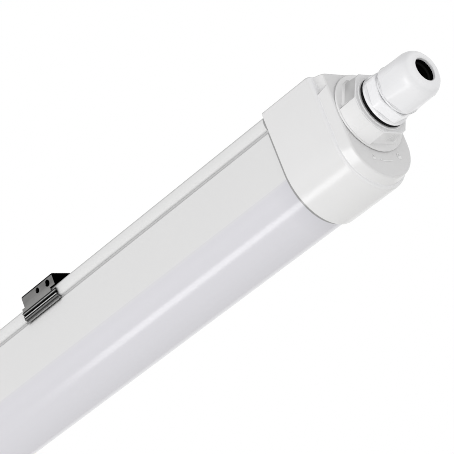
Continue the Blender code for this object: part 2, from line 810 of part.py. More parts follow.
def hex_back():
    return flange_back() + FLANGE_THICKNESS


def hex_front():
    return hex_back() + GLAND_HEX_HEIGHT


def claw_front():
    return hex_front() + UPPER_THREAD_LENGTH + CLAW_LENGTH


def bush_back():
    return hex_front() - BUSH_SEAT_BACK + FIT


def make_gland_body(parent, white):
    flange = flange_back()
    hexagon = hex_back()
    front = hex_front()
    thread = front + UPPER_THREAD_LENGTH
    tip = claw_front()
    edge = GLAND_CHAMFER
    seat = front - BUSH_SEAT_BACK
    profile = [
        (flange - LOWER_THREAD_LENGTH, GLAND_BORE),
        (flange - LOWER_THREAD_LENGTH, LOWER_THREAD_RADIUS),
        (flange, LOWER_THREAD_RADIUS),
        (flange, RING_RADIUS),
        (hexagon, RING_RADIUS),
        (hexagon + edge, RING_RADIUS, GLAND_ACROSS_FLATS),
        (front - edge, RING_RADIUS, GLAND_ACROSS_FLATS),
        (front, RING_RADIUS - edge, GLAND_ACROSS_FLATS - edge * 2),
        (front, UPPER_THREAD_RADIUS),
        (thread, UPPER_THREAD_RADIUS),
        (tip - edge, CLAW_TIP_RADIUS),
        (tip, CLAW_TIP_RADIUS - edge),
        (tip, BUSH_SEAT_RADIUS),
        (seat, BUSH_SEAT_RADIUS),
        (seat, GLAND_BORE),
    ]
    body = finish(turned(profile, TURN_STEPS, GLAND_FLAT_ANGLE), "gland_body", white, parent)
    reach = UPPER_THREAD_RADIUS + OVERRUN
    for index in range(CLAW_PAIRS):
        slot = block((thread, -reach, -CLAW_SLOT / 2), (tip + OVERRUN, reach, CLAW_SLOT / 2))
        slot = finish(slot, f"claw slot {index}", None, parent)
        slot.rotation_euler = (math.pi * (index + 1 / 2) / CLAW_PAIRS, 0, 0)
        cut(body, slot)
    return body


def make_bush(parent, rubber):
    back = bush_back()
    front = back + BUSH_LENGTH
    outer = BUSH_SEAT_RADIUS - FIT
    profile = [
        (back, BUSH_BORE),
        (back, outer),
        (front - BUSH_EDGE, outer),
        (front, outer - BUSH_EDGE),
        (front, BUSH_BORE + BUSH_EDGE),
        (front - BUSH_EDGE, BUSH_BORE),
    ]
    return finish(turned(profile), "gland_bush", rubber, parent)


def slip_ring_back():
    return bush_back() + BUSH_LENGTH + FIT


def make_slip_ring(parent, look):
    back = slip_ring_back()
    front = back + SLIP_RING_THICKNESS
    return make_ring("slip_ring", back, front, SLIP_RING_BORE, SLIP_RING_RADIUS, parent, look)


def make_nut(parent, white):
    """The domed nut: lip, neck, six flats whose corners run out into the dome, and the mouth."""
    start = hex_front() + FIT
    lip = start + NUT_LIP_LENGTH
    body = lip + NUT_NECK_LENGTH
    dome = body + NUT_STRAIGHT
    front = dome + NUT_DOME
    mouth = NUT_MOUTH_RADIUS + NUT_MOUTH_RIM
    shoulder = slip_ring_back() + SLIP_RING_THICKNESS + FIT
    thread = UPPER_THREAD_RADIUS + FIT
    narrow = SLIP_RING_RADIUS + FIT
    outer = [(start, thread), (start, NUT_LIP_RADIUS), (lip, NUT_LIP_RADIUS), (lip, NUT_NECK_RADIUS)]
    outer += [(body, NUT_NECK_RADIUS), (body, NUT_RADIUS - NUT_EDGE)]
    outer.append((body + NUT_EDGE, NUT_RADIUS, NUT_ACROSS_FLATS))
    for step in range(DOME_STEPS + 1):
        angle = math.pi / 2 * step / DOME_STEPS
        radius = mouth + (NUT_DOME_RADIUS - mouth) * math.cos(angle)
        outer.append((dome + NUT_DOME * math.sin(angle), radius, NUT_ACROSS_FLATS))
    inner = [(front, NUT_MOUTH_RADIUS + NUT_EDGE), (front - NUT_EDGE, NUT_MOUTH_RADIUS)]
    inner += [(shoulder, NUT_MOUTH_RADIUS), (shoulder, narrow), (slip_ring_back() - FIT, narrow)]
    claw = claw_front()
    inner += [(claw, CLAW_TIP_RADIUS + FIT), (hex_front() + UPPER_THREAD_LENGTH, thread)]
    return finish(turned(outer + inner, TURN_STEPS, GLAND_FLAT_ANGLE), "gland_nut", white, parent)


def clip_path():
    """The +Y half of the sheet's middle line, from the web's corner down to the flared lip."""
    middle = CLIP_SHEET / 2
    leg = RAIL_HALF + FIT + middle
    points = []
    for step in range(CORNER_STEPS + 1):
        angle = math.pi / 2 * (1 - step / CORNER_STEPS)
        y = leg - CLIP_BEND + CLIP_BEND * math.cos(angle)
        points.append((y, -middle - CLIP_BEND + CLIP_BEND * math.sin(angle)))
    hook = GROOVE_MIDDLE
    run = CLIP_LEG + hook
    points.append((leg, -CLIP_LEG))
    for out_share, down_share in CLIP_FOLD_SHARES:
        points.append((leg + CLIP_BEAD * out_share, -CLIP_LEG + run * down_share))
    points.append((TUBE_HALF - GROOVE_DEPTH / 3 + middle, hook))
    points.append((leg + CLIP_LIP_OUT, hook - CLIP_LIP_DROP))
    return points


def sheet_outline(path, thickness):
    """A closed outline of even thickness round an open path of (y, z)."""
    left, right = [], []
    for index, (y, z) in enumerate(path):
        before = path[max(index - 1, 0)]
        after = path[min(index + 1, len(path) - 1)]
        first = math.atan2(z - before[1], y - before[0]) if index else None
        second = math.atan2(after[1] - z, after[0] - y) if index < len(path) - 1 else None
        first = second if first is None else first
        second = first if second is None else second
        half_turn = math.remainder(second - first, math.tau) / 2
        normal = first + half_turn + math.pi / 2
        reach = thickness / 2 / math.cos(half_turn)
        left.append((y + reach * math.cos(normal), z + reach * math.sin(normal)))
        right.append((y - reach * math.cos(normal), z - reach * math.sin(normal)))
    return left + right[::-1]


def make_clip(name, place, steel):
    half_path = clip_path()
    path = [(-y, z) for y, z in reversed(half_path)] + half_path
    half = CLIP_PLATE_LENGTH / 2
    sheet = extruded(sheet_outline(path, CLIP_SHEET), -half - CLIP_GRIP_EXTRA, half)
    clip = finish(sheet, name, steel, place)
    reach = RAIL_HALF + FIT + CLIP_SHEET + CLIP_BEAD + OVERRUN
    low = (-half - CLIP_GRIP_EXTRA - OVERRUN, -reach, -CLIP_PLATE_HEIGHT)
    cut(clip, finish(block(low, (-half, reach, OVERRUN)), f"{name} end", parent=place))
    low = (half - CLIP_NOTCH_LENGTH, -reach, -CLIP_PLATE_HEIGHT - CLIP_NOTCH_HEIGHT)
    notch = block(low, (half + OVERRUN, reach, -CLIP_PLATE_HEIGHT))
    cut(clip, finish(notch, f"{name} notch", parent=place))
    for side in (-1, 1):
        middle = (side * CLIP_SCREW_SPACING / 2, 0)
        hole = post(CLIP_SCREW_HOLE / 2, middle, -CLIP_SHEET - OVERRUN, OVERRUN)
        cut(clip, finish(hole, f"{name} screw hole {side}", parent=place))
    for label, size, x, depth in (
        ("middle", SIDE_HOLE, 0, SIDE_HOLE_DEPTH),
        ("end", END_HOLE, END_HOLE_OFFSET, END_HOLE_DEPTH),
    ):
        hole = finish(side_rod(size / 2, reach), f"{name} {label} hole", None, place, (x, 0, -depth))
        cut(clip, hole)
    return clip


def side_rod(radius, reach):
    """A cylinder along Y about the local origin."""
    bm = rod(radius, -reach, reach, SMALL_TURN_STEPS)
    for corner in bm.verts:
        x, y, z = corner.co
        corner.co = (y, x, z)
    return bm


def tray_outline():
    """The tray's section: a flat deck with an upright fin beside the driver on each side."""
    side = [(TRAY_FIN_OFFSET, TRAY_TOP), (TRAY_FIN_OFFSET, TRAY_TOP + TRAY_FIN_HEIGHT)]
    side.append((TRAY_FIN_OFFSET + TRAY_FIN_THICKNESS, TRAY_TOP + TRAY_FIN_HEIGHT))
    side.append((TRAY_FIN_OFFSET + TRAY_FIN_THICKNESS, TRAY_TOP))
    side.append((TRAY_HALF, TRAY_TOP))
    side.append((TRAY_HALF, TRAY_BOTTOM))
    return mirrored(side)


def tray_half_length():
    return TUBE_LENGTH / 2 + TRAY_REACH


def drill(target, tag, radius, middle, bottom, top):
    hole = post(radius, middle, bottom - OVERRUN, top + OVERRUN)
    cut(target, finish(hole, f"{target.name} {tag}"))


def make_tray(aluminium):
    reach = tray_half_length()
    tray = finish(extruded(tray_outline(), -reach, reach), "gear_tray", aluminium)
    for index, middle in enumerate(rivet_places()):
        drill(tray, f"rivet hole {index}", RIVET_RADIUS + FIT, middle, TRAY_BOTTOM, TRAY_TOP)
    for index, middle in enumerate(driver_screw_places()):
        drill(tray, f"driver hole {index}", DRIVER_SCREW_RADIUS + FIT, middle, TRAY_BOTTOM, TRAY_TOP)
    for index, middle in enumerate(thin_lead_places()):
        drill(tray, f"lead hole {index}", THIN_LEAD_RADIUS * 2 + FIT, middle, TRAY_BOTTOM, TRAY_TOP)
    drill(tray, "earth hole", EARTH_SCREW_RADIUS + FIT, earth_place(), TRAY_BOTTOM, TRAY_TOP)
    drill(tray, "peg hole", BLOCK_PEG_RADIUS + FIT, (block_middle(), 0), TRAY_BOTTOM, TRAY_TOP)
    return tray


def board_span():
    """The supply-side board's two ends along X."""
    return (BOARD_JOINT_GAP / 2, RIM_X - BOARD_END_GAP)


def rivet_places():
    near, far = board_span()
    stations = (near + RIVET_INSET, far - RIVET_INSET)
    supply = [(x, RIVET_SIDE) for x in stations]
    return supply + [(-x, -y) for x, y in supply]


def make_board(name, direction, rivets, white):
    """One LED board: a strip with a row of LED packages on its underside."""
    near, far = board_span()
    ends = sorted((direction * near, direction * far))
    half = BOARD_WIDTH / 2
    board = finish(block((ends[0], -half, BOARD_BOTTOM), (ends[1], half, BOARD_TOP)), name, white)
    pitch = (far - near) / LED_COUNT
    row = bmesh.new()
    for index in range(LED_COUNT):
        x = ends[0] + pitch * (index + 1 / 2)
        low = (x - LED_LENGTH / 2, -LED_WIDTH / 2, BOARD_BOTTOM - LED_HEIGHT)
        block(low, (x + LED_LENGTH / 2, LED_WIDTH / 2, BOARD_BOTTOM + BITE), row)
    join(board, finish(row, f"{name} leds"))
    for index, middle in enumerate(rivets):
        drill(board, f"rivet hole {index}", RIVET_RADIUS + FIT, middle, BOARD_BOTTOM, BOARD_TOP)
    return board


def make_rivet(name, middle, look):
    under = BOARD_BOTTOM - FIT
    levels = (TRAY_TOP, under, under - RIVET_HEAD * 2 / 3)
    return finish(pin(RIVET_HEAD_RADIUS, RIVET_HEAD, RIVET_RADIUS, middle, levels), name, look)


def make_link(white):
    top = BOARD_BOTTOM - FIT
    half = LINK_LENGTH / 2
    low = (-half, -LINK_WIDTH / 2 - LINK_SIDE, top - LINK_HEIGHT)
    link = finish(block(low, (half, LINK_WIDTH / 2 - LINK_SIDE, top)), "board_link", white)
    bevel(link, LINK_EDGE)
    return link


def bevel(target, width, segments=1):
    made = target.modifiers.new("edges", "BEVEL")
    made.width = width
    made.segments = segments
    made.limit_method = "ANGLE"
    return made


def driver_front():
    return RIM_X - DRIVER_FROM_RIM


def driver_screw_places():
    """One screw through the foot of each end plug, on opposite sides."""
    front = driver_front() + PLUG_LENGTH + PLUG_FOOT_LENGTH / 2
    back = driver_front() - DRIVER_LENGTH - PLUG_LENGTH - PLUG_FOOT_LENGTH / 2
    side = DRIVER_WIDTH / 2 - PLUG_FOOT_WIDTH / 2
    return [(front, -side), (back, side)]


def make_driver_case(steel):
    back = driver_front() - DRIVER_LENGTH
    half = DRIVER_WIDTH / 2
    top = DECK + DRIVER_HEIGHT
    case = finish(block((back, -half, DECK), (driver_front(), half, top)), "driver_case", steel)
    wall = DRIVER_WALL
    bevel(case, wall / 2)
    low = (back - OVERRUN, -half + wall, DECK + wall)
    cut(case, finish(block(low, (driver_front() + OVERRUN, half - wall, top - wall)), "driver bore"))
    return case


def make_driver_plug(name, direction, screw, holes, white):
    """An end plug: a body the size of the case, a spigot inside it, and a foot for the screw."""
    face = driver_front() if direction > 0 else driver_front() - DRIVER_LENGTH
    inner = face + direction * FIT
    outer = inner + direction * PLUG_LENGTH
    half = DRIVER_WIDTH / 2
    top = DECK + DRIVER_HEIGHT
    ends = sorted((inner, outer))
    plug = finish(block((ends[0], -half, DECK), (ends[1], half, top)), name, white)
    gap = DRIVER_WALL + FIT
    ends = sorted((inner + direction * BITE, face - direction * PLUG_SPIGOT))
    spigot = block((ends[0], -half + gap, DECK + gap), (ends[1], half - gap, top - gap))
    join(plug, finish(spigot, f"{name} spigot"))
    ends = sorted((outer - direction * BITE, outer + direction * PLUG_FOOT_LENGTH))
    low = (ends[0], screw[1] - PLUG_FOOT_WIDTH / 2, DECK)
    foot = block(low, (ends[1], screw[1] + PLUG_FOOT_WIDTH / 2, DECK + PLUG_FOOT))
    join(plug, finish(foot, f"{name} foot"))
    drill(plug, "foot hole", DRIVER_SCREW_RADIUS + FIT, screw, DECK, DECK + PLUG_FOOT)
    for index, (y, z, radius) in enumerate(holes):
        reach = PLUG_LENGTH + PLUG_SPIGOT + OVERRUN
        start = face - direction * PLUG_SPIGOT - direction * OVERRUN
        ends = sorted((start, start + direction * (reach + OVERRUN)))
        hole = finish(rod(radius, ends[0], ends[1]), f"{name} lead hole {index}", location=(0, y, z))
        cut(plug, hole)
    return plug


def make_driver_screw(name, middle, steel):
    under = DECK + PLUG_FOOT + FIT
    levels = (TRAY_BOTTOM, under, under + DRIVER_SCREW_HEAD_HEIGHT * 2 / 3)
    screw = pin(DRIVER_SCREW_HEAD, DRIVER_SCREW_HEAD_HEIGHT, DRIVER_SCREW_RADIUS, middle, levels)
    return finish(screw, name, steel)


def make_driver_board(green):
    """The driver's circuit board with its choke and two capacitors."""
    back = driver_front() - DRIVER_LENGTH + PLUG_SPIGOT + FIT
    front = driver_front() - PLUG_SPIGOT - FIT
    half = DRIVER_WIDTH / 2 - DRIVER_WALL - FIT
    bottom = DECK + DRIVER_WALL + FIT
    top = bottom + DRIVER_BOARD_SHEET
    board = finish(block((back, -half, bottom), (front, half, top)), "driver_board", green)
    middle = (back + front) / 2
    low = (middle - CHOKE_LENGTH / 2, -CHOKE_WIDTH / 2, top - BITE)
    high = (middle + CHOKE_LENGTH / 2, CHOKE_WIDTH / 2, top + CHOKE_HEIGHT)
    join(board, finish(block(low, high), "choke"))
    for side in (-1, 1):
        place = (middle + side * (CHOKE_LENGTH / 2 + CAPACITOR_SPACING), 0)
        can = post(CAPACITOR_RADIUS, place, top - BITE, top + CAPACITOR_HEIGHT)
        join(board, finish(can, f"capacitor {side}"))
    return board


def block_middle():
    return RIM_X + BLOCK_FRONT - BLOCK_LENGTH / 2


def pole_offsets():
    return (-BLOCK_PITCH, 0, BLOCK_PITCH)


def make_terminal_block(white):
    """A three-pole block with wire entries at the front, lead holes at the back and screw wells on top."""
    front = RIM_X + BLOCK_FRONT
    back = front - BLOCK_LENGTH
    half = BLOCK_WIDTH / 2
    top = DECK + BLOCK_HEIGHT
    block_body = finish(block((back, -half, DECK), (front, half, top)), "terminal_block", white)
    bevel(block_body, BLOCK_EDGE)
    peg = post(BLOCK_PEG_RADIUS, (block_middle(), 0), DECK - BLOCK_PEG_LENGTH, DECK + BLOCK_EDGE)
    join(block_body, finish(peg, "block peg"))
    for index, y in enumerate(pole_offsets()):
        height = (0, y, DECK + ENTRY_HEIGHT)
        entry = rod(ENTRY_RADIUS, front - ENTRY_DEPTH, front + OVERRUN)
        cut(block_body, finish(entry, f"entry {index}", location=height))
        exit_hole = rod(LEAD_RADIUS + FIT, back - OVERRUN, back + EXIT_DEPTH)
        cut(block_body, finish(exit_hole, f"exit {index}", location=height))
        floor = top - CLAMP_SUNK - CLAMP_LENGTH - FIT
        well = post(CLAMP_RADIUS + FIT, (block_middle(), y), floor, top + OVERRUN)
        cut(block_body, finish(well, f"well {index}"))
    return block_body


def make_clamp_screw(name, y, steel):
    top = DECK + BLOCK_HEIGHT - CLAMP_SUNK
    middle = (block_middle(), y)
    screw = finish(post(CLAMP_RADIUS, middle, top - CLAMP_LENGTH, top), name, steel)
    reach = CLAMP_RADIUS + OVERRUN
    low = (middle[0] - reach, y - CLAMP_SLOT / 2, top - CLAMP_SLOT)
    slot = block(low, (middle[0] + reach, y + CLAMP_SLOT / 2, top + OVERRUN))
    cut(screw, finish(slot, f"{name} slot"))
    return screw


def earth_place():
    return (block_middle() - BLOCK_LENGTH / 2 - EARTH_FROM_BLOCK, EARTH_SIDE)


def make_earth_lug(steel):
    """A ring tag with a barrel for the earth lead."""
    x, y = earth_place()
    bottom = DECK
    top = bottom + EARTH_LUG_SHEET
    lug = finish(post(EARTH_LUG_RADIUS, (x, y), bottom, top), "earth_lug", steel)
    start = x + EARTH_LUG_RADIUS / 2
    tail_half = LEAD_RADIUS
    tail = block((start, y - tail_half, bottom), (start + EARTH_TAIL_LENGTH, y + tail_half, top))
    join(lug, finish(tail, "lug tail"))
    drill(lug, "hole", EARTH_SCREW_RADIUS + FIT, (x, y), bottom, top)
    return lug


def make_earth_screw(steel):
    under = DECK + EARTH_LUG_SHEET + FIT
    levels = (TRAY_BOTTOM, under, under + EARTH_HEAD * 2 / 3)
    screw = pin(EARTH_HEAD_RADIUS, EARTH_HEAD, EARTH_SCREW_RADIUS, earth_place(), levels)
    return finish(screw, "earth_screw", steel)


def smooth_route(points, per_span=4):
    """Points along a Catmull-Rom curve through the given ones."""
    padded = [points[0]] + list(points) + [points[-1]]
    found = []
    for index in range(len(points) - 1):
        before, first, second, after = padded[index : index + 4]
        for step in range(per_span):
            t = step / per_span
            found.append(tuple(catmull_rom(before[i], first[i], second[i], after[i], t) for i in range(3)))
    found.append(tuple(points[-1]))
    return found


def catmull_rom(before, first, second, after, t):
    bend = 2 * before - 5 * first + 4 * second - after
    twist = 3 * first - before - 3 * second + after
    return first + ((second - before) * t + bend * t**2 + twist * t**3) / 2


def make_lead(name, points, radius, look):
    """An insulated wire along a smooth route."""
    route = smooth_route(points)
    curve = bpy.data.curves.new(name, "CURVE")
    curve.dimensions = "3D"
    curve.bevel_depth = radius
    curve.bevel_resolution = 1
    curve.use_fill_caps = True
    spline = curve.splines.new("POLY")
    spline.points.add(len(route) - 1)
    for point, place in zip(spline.points, route):
        point.co = (*place, 1)
    curve.materials.append(look)
    made = bpy.data.objects.new(name, curve)
    bpy.context.scene.collection.objects.link(made)
    return made


def mains_hole(y):
    """Where a mains lead enters the driver's supply plug."""
    return (y, DECK + DRIVER_HEIGHT / 2, LEAD_RADIUS + FIT)


def thin_lead_side():
    return BOARD_WIDTH / 2 + THIN_LEAD_RADIUS + FIT * 2


def thin_lead_places():
    x = driver_front() - DRIVER_LENGTH - PLUG_LENGTH - THIN_LEAD_REACH
    return [(x, thin_lead_side()), (x, -thin_lead_side())]


def make_mains_leads(brown, blue, green):
    """Live and neutral run from the terminal block to the driver, and earth to the ring tag."""
    back = RIM_X + BLOCK_FRONT - BLOCK_LENGTH
    height = DECK + ENTRY_HEIGHT
    inside = back + LEAD_INSERT
    plug = driver_front() + PLUG_LENGTH + FIT
    for name, y, entry, look in (
        ("live_lead", -BLOCK_PITCH, -LIVE_SIDE, brown),
        ("neutral_lead", 0, NEUTRAL_SIDE, blue),
    ):
        hole = mains_hole(entry)
        reach = back - plug
        points = [
            (inside, y, height),
            (back - reach * LEAD_STRAIGHT_SHARE, y, height),
            (back - reach * LEAD_CREST_SHARE, (y + entry) / 2, (height + hole[1]) / 2 + LEAD_RADIUS),
            (plug + reach * LEAD_STRAIGHT_SHARE, entry, hole[1]),
            (plug - PLUG_LENGTH / 2, entry, hole[1]),
        ]
        make_lead(name, points, LEAD_RADIUS, look)
    x, y = earth_place()
    tail = x + EARTH_LUG_RADIUS / 2 + EARTH_TAIL_LENGTH
    floor = DECK + EARTH_LUG_SHEET + FIT + LEAD_RADIUS
    points = [
        (inside, BLOCK_PITCH, height),
        (back - LEAD_RADIUS * 2, BLOCK_PITCH, height),
        (back - LEAD_RADIUS * 3, (BLOCK_PITCH + y) / 2, (height + floor) / 2),
        (tail - LEAD_RADIUS, y, floor + LEAD_RADIUS / 2),
        (tail - EARTH_TAIL_LENGTH / 2, y, floor),
    ]
    make_lead("earth_lead", points, LEAD_RADIUS, green)


def make_thin_leads(red, black):
    """Two leads from the driver's far plug, down through the tray to the board's underside."""
    plug = driver_front() - DRIVER_LENGTH - PLUG_LENGTH
    x = thin_lead_places()[0][0]
    pad = BOARD_BOTTOM - FIT - THIN_LEAD_RADIUS
    height = DECK + THIN_LEAD_HEIGHT
    reach = plug - x
    for name, side, look in (("plus_lead", 1, red), ("minus_lead", -1, black)):
        start = side * THIN_LEAD_SIDE
        edge = side * thin_lead_side()
        turn = THIN_LEAD_RADIUS * 2
        points = [
            (plug + PLUG_LENGTH / 2, start, height),
            (plug - reach * THIN_STRAIGHT_SHARE, start, height),
            (plug - reach * THIN_TURN_SHARE, (start + edge) / 2, height - turn),
            (x, edge, TRAY_TOP + turn * 2),
            (x, edge, TRAY_BOTTOM - THIN_LEAD_RADIUS),
            (x, edge - side * THIN_LEAD_RADIUS / 2, pad - THIN_LEAD_RADIUS / 3),
            (x, edge - side * turn * 2, pad - THIN_LEAD_RADIUS / 3),
        ]
        make_lead(name, points, THIN_LEAD_RADIUS, look)


def thin_hole(side):
    return (side * THIN_LEAD_SIDE, DECK + THIN_LEAD_HEIGHT, THIN_LEAD_RADIUS + FIT)


def make_ends(white, rubber):
    supply = empty("supply_end", (RIM_X, 0, 0))
    blank = empty("blank_end", (-RIM_X, 0, 0), math.pi)
    cap = make_cap("end_cap_supply", supply, white)
    bayonet_socket(cap, supply)
    make_cap("end_cap_blank", blank, white)
    make_gasket("gasket_supply", supply, rubber)
    make_gasket("gasket_blank", blank, rubber)


def make_cover(white, rubber, dark):
    """Everything that turns with the collar, about the gland's axis."""
    axis = empty("gland_axis", (RIM_X, 0, AXIS_Z))
    make_collar(axis, white)
    make_cover_seal(axis, rubber)
    back = ring_back()
    bore = LOWER_THREAD_RADIUS + FIT
    make_ring("ring_seal", back, back + RING_THICKNESS, bore, RING_RADIUS, axis, rubber)
    make_gland_body(axis, white)
    make_bush(axis, rubber)
    make_slip_ring(axis, dark)
    make_nut(axis, white)


def make_clips(steel):
    x = RIM_X - CLIP_FROM_RIM
    make_clip("clip_supply", empty("clip_supply_place", (x, 0, 0)), steel)
    make_clip("clip_blank", empty("clip_blank_place", (-x, 0, 0), math.pi), steel)


def make_gear(white, aluminium, steel, green):
    make_tray(aluminium)
    places = rivet_places()
    make_board("led_board_supply", 1, places[:2], white)
    make_board("led_board_blank", -1, places[2:], white)
    for index, middle in enumerate(places):
        make_rivet(f"board_rivet_{index + 1}", middle, white)
    make_link(white)
    make_driver_case(steel)
    screws = driver_screw_places()
    mains = [mains_hole(-LIVE_SIDE), mains_hole(NEUTRAL_SIDE)]
    make_driver_plug("driver_plug_supply", 1, screws[0], mains, white)
    make_driver_plug("driver_plug_led", -1, screws[1], [thin_hole(1), thin_hole(-1)], white)
    make_driver_screw("driver_screw_1", screws[0], steel)
    make_driver_screw("driver_screw_2", screws[1], steel)
    make_driver_board(green)
    make_terminal_block(white)
    for index, y in enumerate(pole_offsets()):
        make_clamp_screw(f"clamp_screw_{index + 1}", y, steel)
    make_earth_lug(steel)
    make_earth_screw(steel)


def main():
    clear_scene()
    white = material("white moulding", (0.78, 0.78, 0.77), 0.35)
    opaque = material("opaque extrusion", (0.72, 0.72, 0.70), 0.35)
    opal = material("opal extrusion", (0.70, 0.70, 0.74), 0.30)
    rubber = material("black rubber", (0.01, 0.01, 0.01), 0.55)
    silicone = material("grey silicone", (0.35, 0.35, 0.36), 0.6)
    dark = material("dark nylon", (0.012, 0.012, 0.013), 0.4)
    stainless = material("stainless steel", (0.45, 0.44, 0.43), 0.35, 1.0)
    aluminium = material("aluminium", (0.75, 0.76, 0.78), 0.3, 1.0)
    green = material("circuit green", (0.02, 0.16, 0.06), 0.45)
    brown = material("live brown", (0.18, 0.07, 0.03), 0.45)
    blue = material("neutral blue", (0.05, 0.14, 0.45), 0.45)
    earth = material("earth green", (0.10, 0.42, 0.08), 0.45)
    red = material("plus red", (0.55, 0.03, 0.03), 0.45)
    black = material("minus black", (0.02, 0.02, 0.02), 0.45)
    make_tube(opaque, opal)
    make_ends(white, silicone)
    make_cover(white, rubber, dark)
    make_clips(stainless)
    make_gear(white, aluminium, stainless, green)
    make_mains_leads(brown, blue, earth)
    make_thin_leads(red, black)
    shade_all()


main()
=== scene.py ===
# %% [markdown]
# A vapor tight LED batten, looked at from below its cable gland. Its solids come from the CAD frame, which
# gives their shapes and places. This lesson adds the camera, the studio, three small raised marks and a
# finish for every solid. The frame is loaded first.

# %% Load the frame
import math

import bmesh
import bpy
from mathutils import Matrix, Vector


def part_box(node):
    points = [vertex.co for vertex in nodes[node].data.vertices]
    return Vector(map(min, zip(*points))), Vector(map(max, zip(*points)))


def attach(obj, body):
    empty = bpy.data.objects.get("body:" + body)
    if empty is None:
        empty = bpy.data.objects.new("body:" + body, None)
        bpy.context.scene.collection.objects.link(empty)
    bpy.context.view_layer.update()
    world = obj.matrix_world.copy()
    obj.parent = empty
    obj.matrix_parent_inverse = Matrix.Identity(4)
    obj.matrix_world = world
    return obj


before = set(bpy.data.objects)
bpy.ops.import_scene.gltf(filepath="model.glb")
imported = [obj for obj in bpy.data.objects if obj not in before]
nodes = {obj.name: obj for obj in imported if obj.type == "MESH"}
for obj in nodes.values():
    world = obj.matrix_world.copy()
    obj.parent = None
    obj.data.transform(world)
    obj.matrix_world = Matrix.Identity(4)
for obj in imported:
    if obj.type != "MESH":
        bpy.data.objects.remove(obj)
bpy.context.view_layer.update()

# %% [markdown]
# A finish is a tree of nodes, and most of them do arithmetic. They could be made and linked one by one,
# but then a sum such as `1 - mask` takes four lines. A Value wraps one socket instead, and each operator
# adds the Math node that it needs, so that shader maths reads as it does on paper.

# %% Sums on sockets
class Value:
    """One socket of a node tree, with arithmetic."""

    def __init__(self, tree, socket):
        self.tree = tree
        self.socket = socket

    def math(self, operation, *others, clamp=False):
        """A Math node that works on this value and on others, each a value or a number."""
        made = self.tree.nodes.new("ShaderNodeMath")
        made.operation = operation
        made.use_clamp = clamp
        for socket, value in zip(made.inputs, (self, *others)):
            feed(self.tree, socket, value)
        return Value(self.tree, made.outputs[0])

    def reflected(self, operation, number):
        """A Math node that has a number first and this value second."""
        made = self.tree.nodes.new("ShaderNodeMath")
        made.operation = operation
        feed(self.tree, made.inputs[0], number)
        feed(self.tree, made.inputs[1], self)
        return Value(self.tree, made.outputs[0])

    def __add__(self, other):
        return self.math("ADD", other)

    __radd__ = __add__

    def __mul__(self, other):
        return self.math("MULTIPLY", other)

    __rmul__ = __mul__

    def __sub__(self, other):
        return self.math("SUBTRACT", other)

    def __rsub__(self, other):
        return self.reflected("SUBTRACT", other)

    def __truediv__(self, other):
        return self.math("DIVIDE", other)

    def __rtruediv__(self, other):
        return self.reflected("DIVIDE", other)

    def __neg__(self):
        return self.reflected("SUBTRACT", 0)

    def __abs__(self):
        return self.math("ABSOLUTE")

    def clamped(self):
        """The value, kept from 0 to 1."""
        return self.math("MULTIPLY", 1, clamp=True)

    def above(self, level, blur):
        """0 below the level, 1 above it, and a straight ramp that is blur wide between them."""
        return ((self - level) / blur + 1 / 2).clamped()

    def either(self, other):
        """The larger of two values, which joins two masks."""
        return self.math("MAXIMUM", other)


def feed(tree, socket, value):
    """Link a value to a socket, or write a number, colour or vector there."""
    if isinstance(value, Value):
        tree.links.new(value.socket, socket)
    else:
        socket.default_value = value


print("shader sums ready")

# %% [markdown]
# The nodes that aren't arithmetic could each be made in lines of their own too. They come from one method
# instead, which takes a node's type, its settings and what goes into its sockets. Settings come first,
# because some of them, such as a Mix node's data type, change which sockets there are.

# %% Node trees
def set_stops(elements, stops):
    """Give a colour ramp its stops, each a place from 0 to 1 and a colour."""
    elements.remove(elements[-1])
    for count, (place, shade) in enumerate(stops):
        stop = elements.new(place) if count else elements[0]
        stop.position = place
        stop.color = (*shade, 1)


class Tree:
    """A node tree under construction."""

    def __init__(self, tree):
        self.tree = tree

    def node(self, kind, settings=None, inputs=None, output=0):
        """Any node: its settings are set first, then the values or links of its sockets."""
        made = self.tree.nodes.new(kind)
        for name, value in (settings or {}).items():
            if name == "stops":
                set_stops(made.color_ramp.elements, value)
            else:
                setattr(made, name, value)
        for name, value in (inputs or {}).items():
            feed(self.tree, made.inputs[name], value)
        return Value(self.tree, made.outputs[output])


print("node trees ready")

# %% [markdown]
# A Finish is a material under construction. What is the same all over it is written on the shader's own
# sockets, and what varies is linked to them. Its patterns could follow an unwrapped picture, but CAD
# solids have none. They follow Object coordinates instead. These are metres from the point of the ceiling
# above the middle of the tube, because every CAD solid has its origin there.

# %% Finishes
def grey(level):
    """A colour without a tint."""
    return (level, level, level)


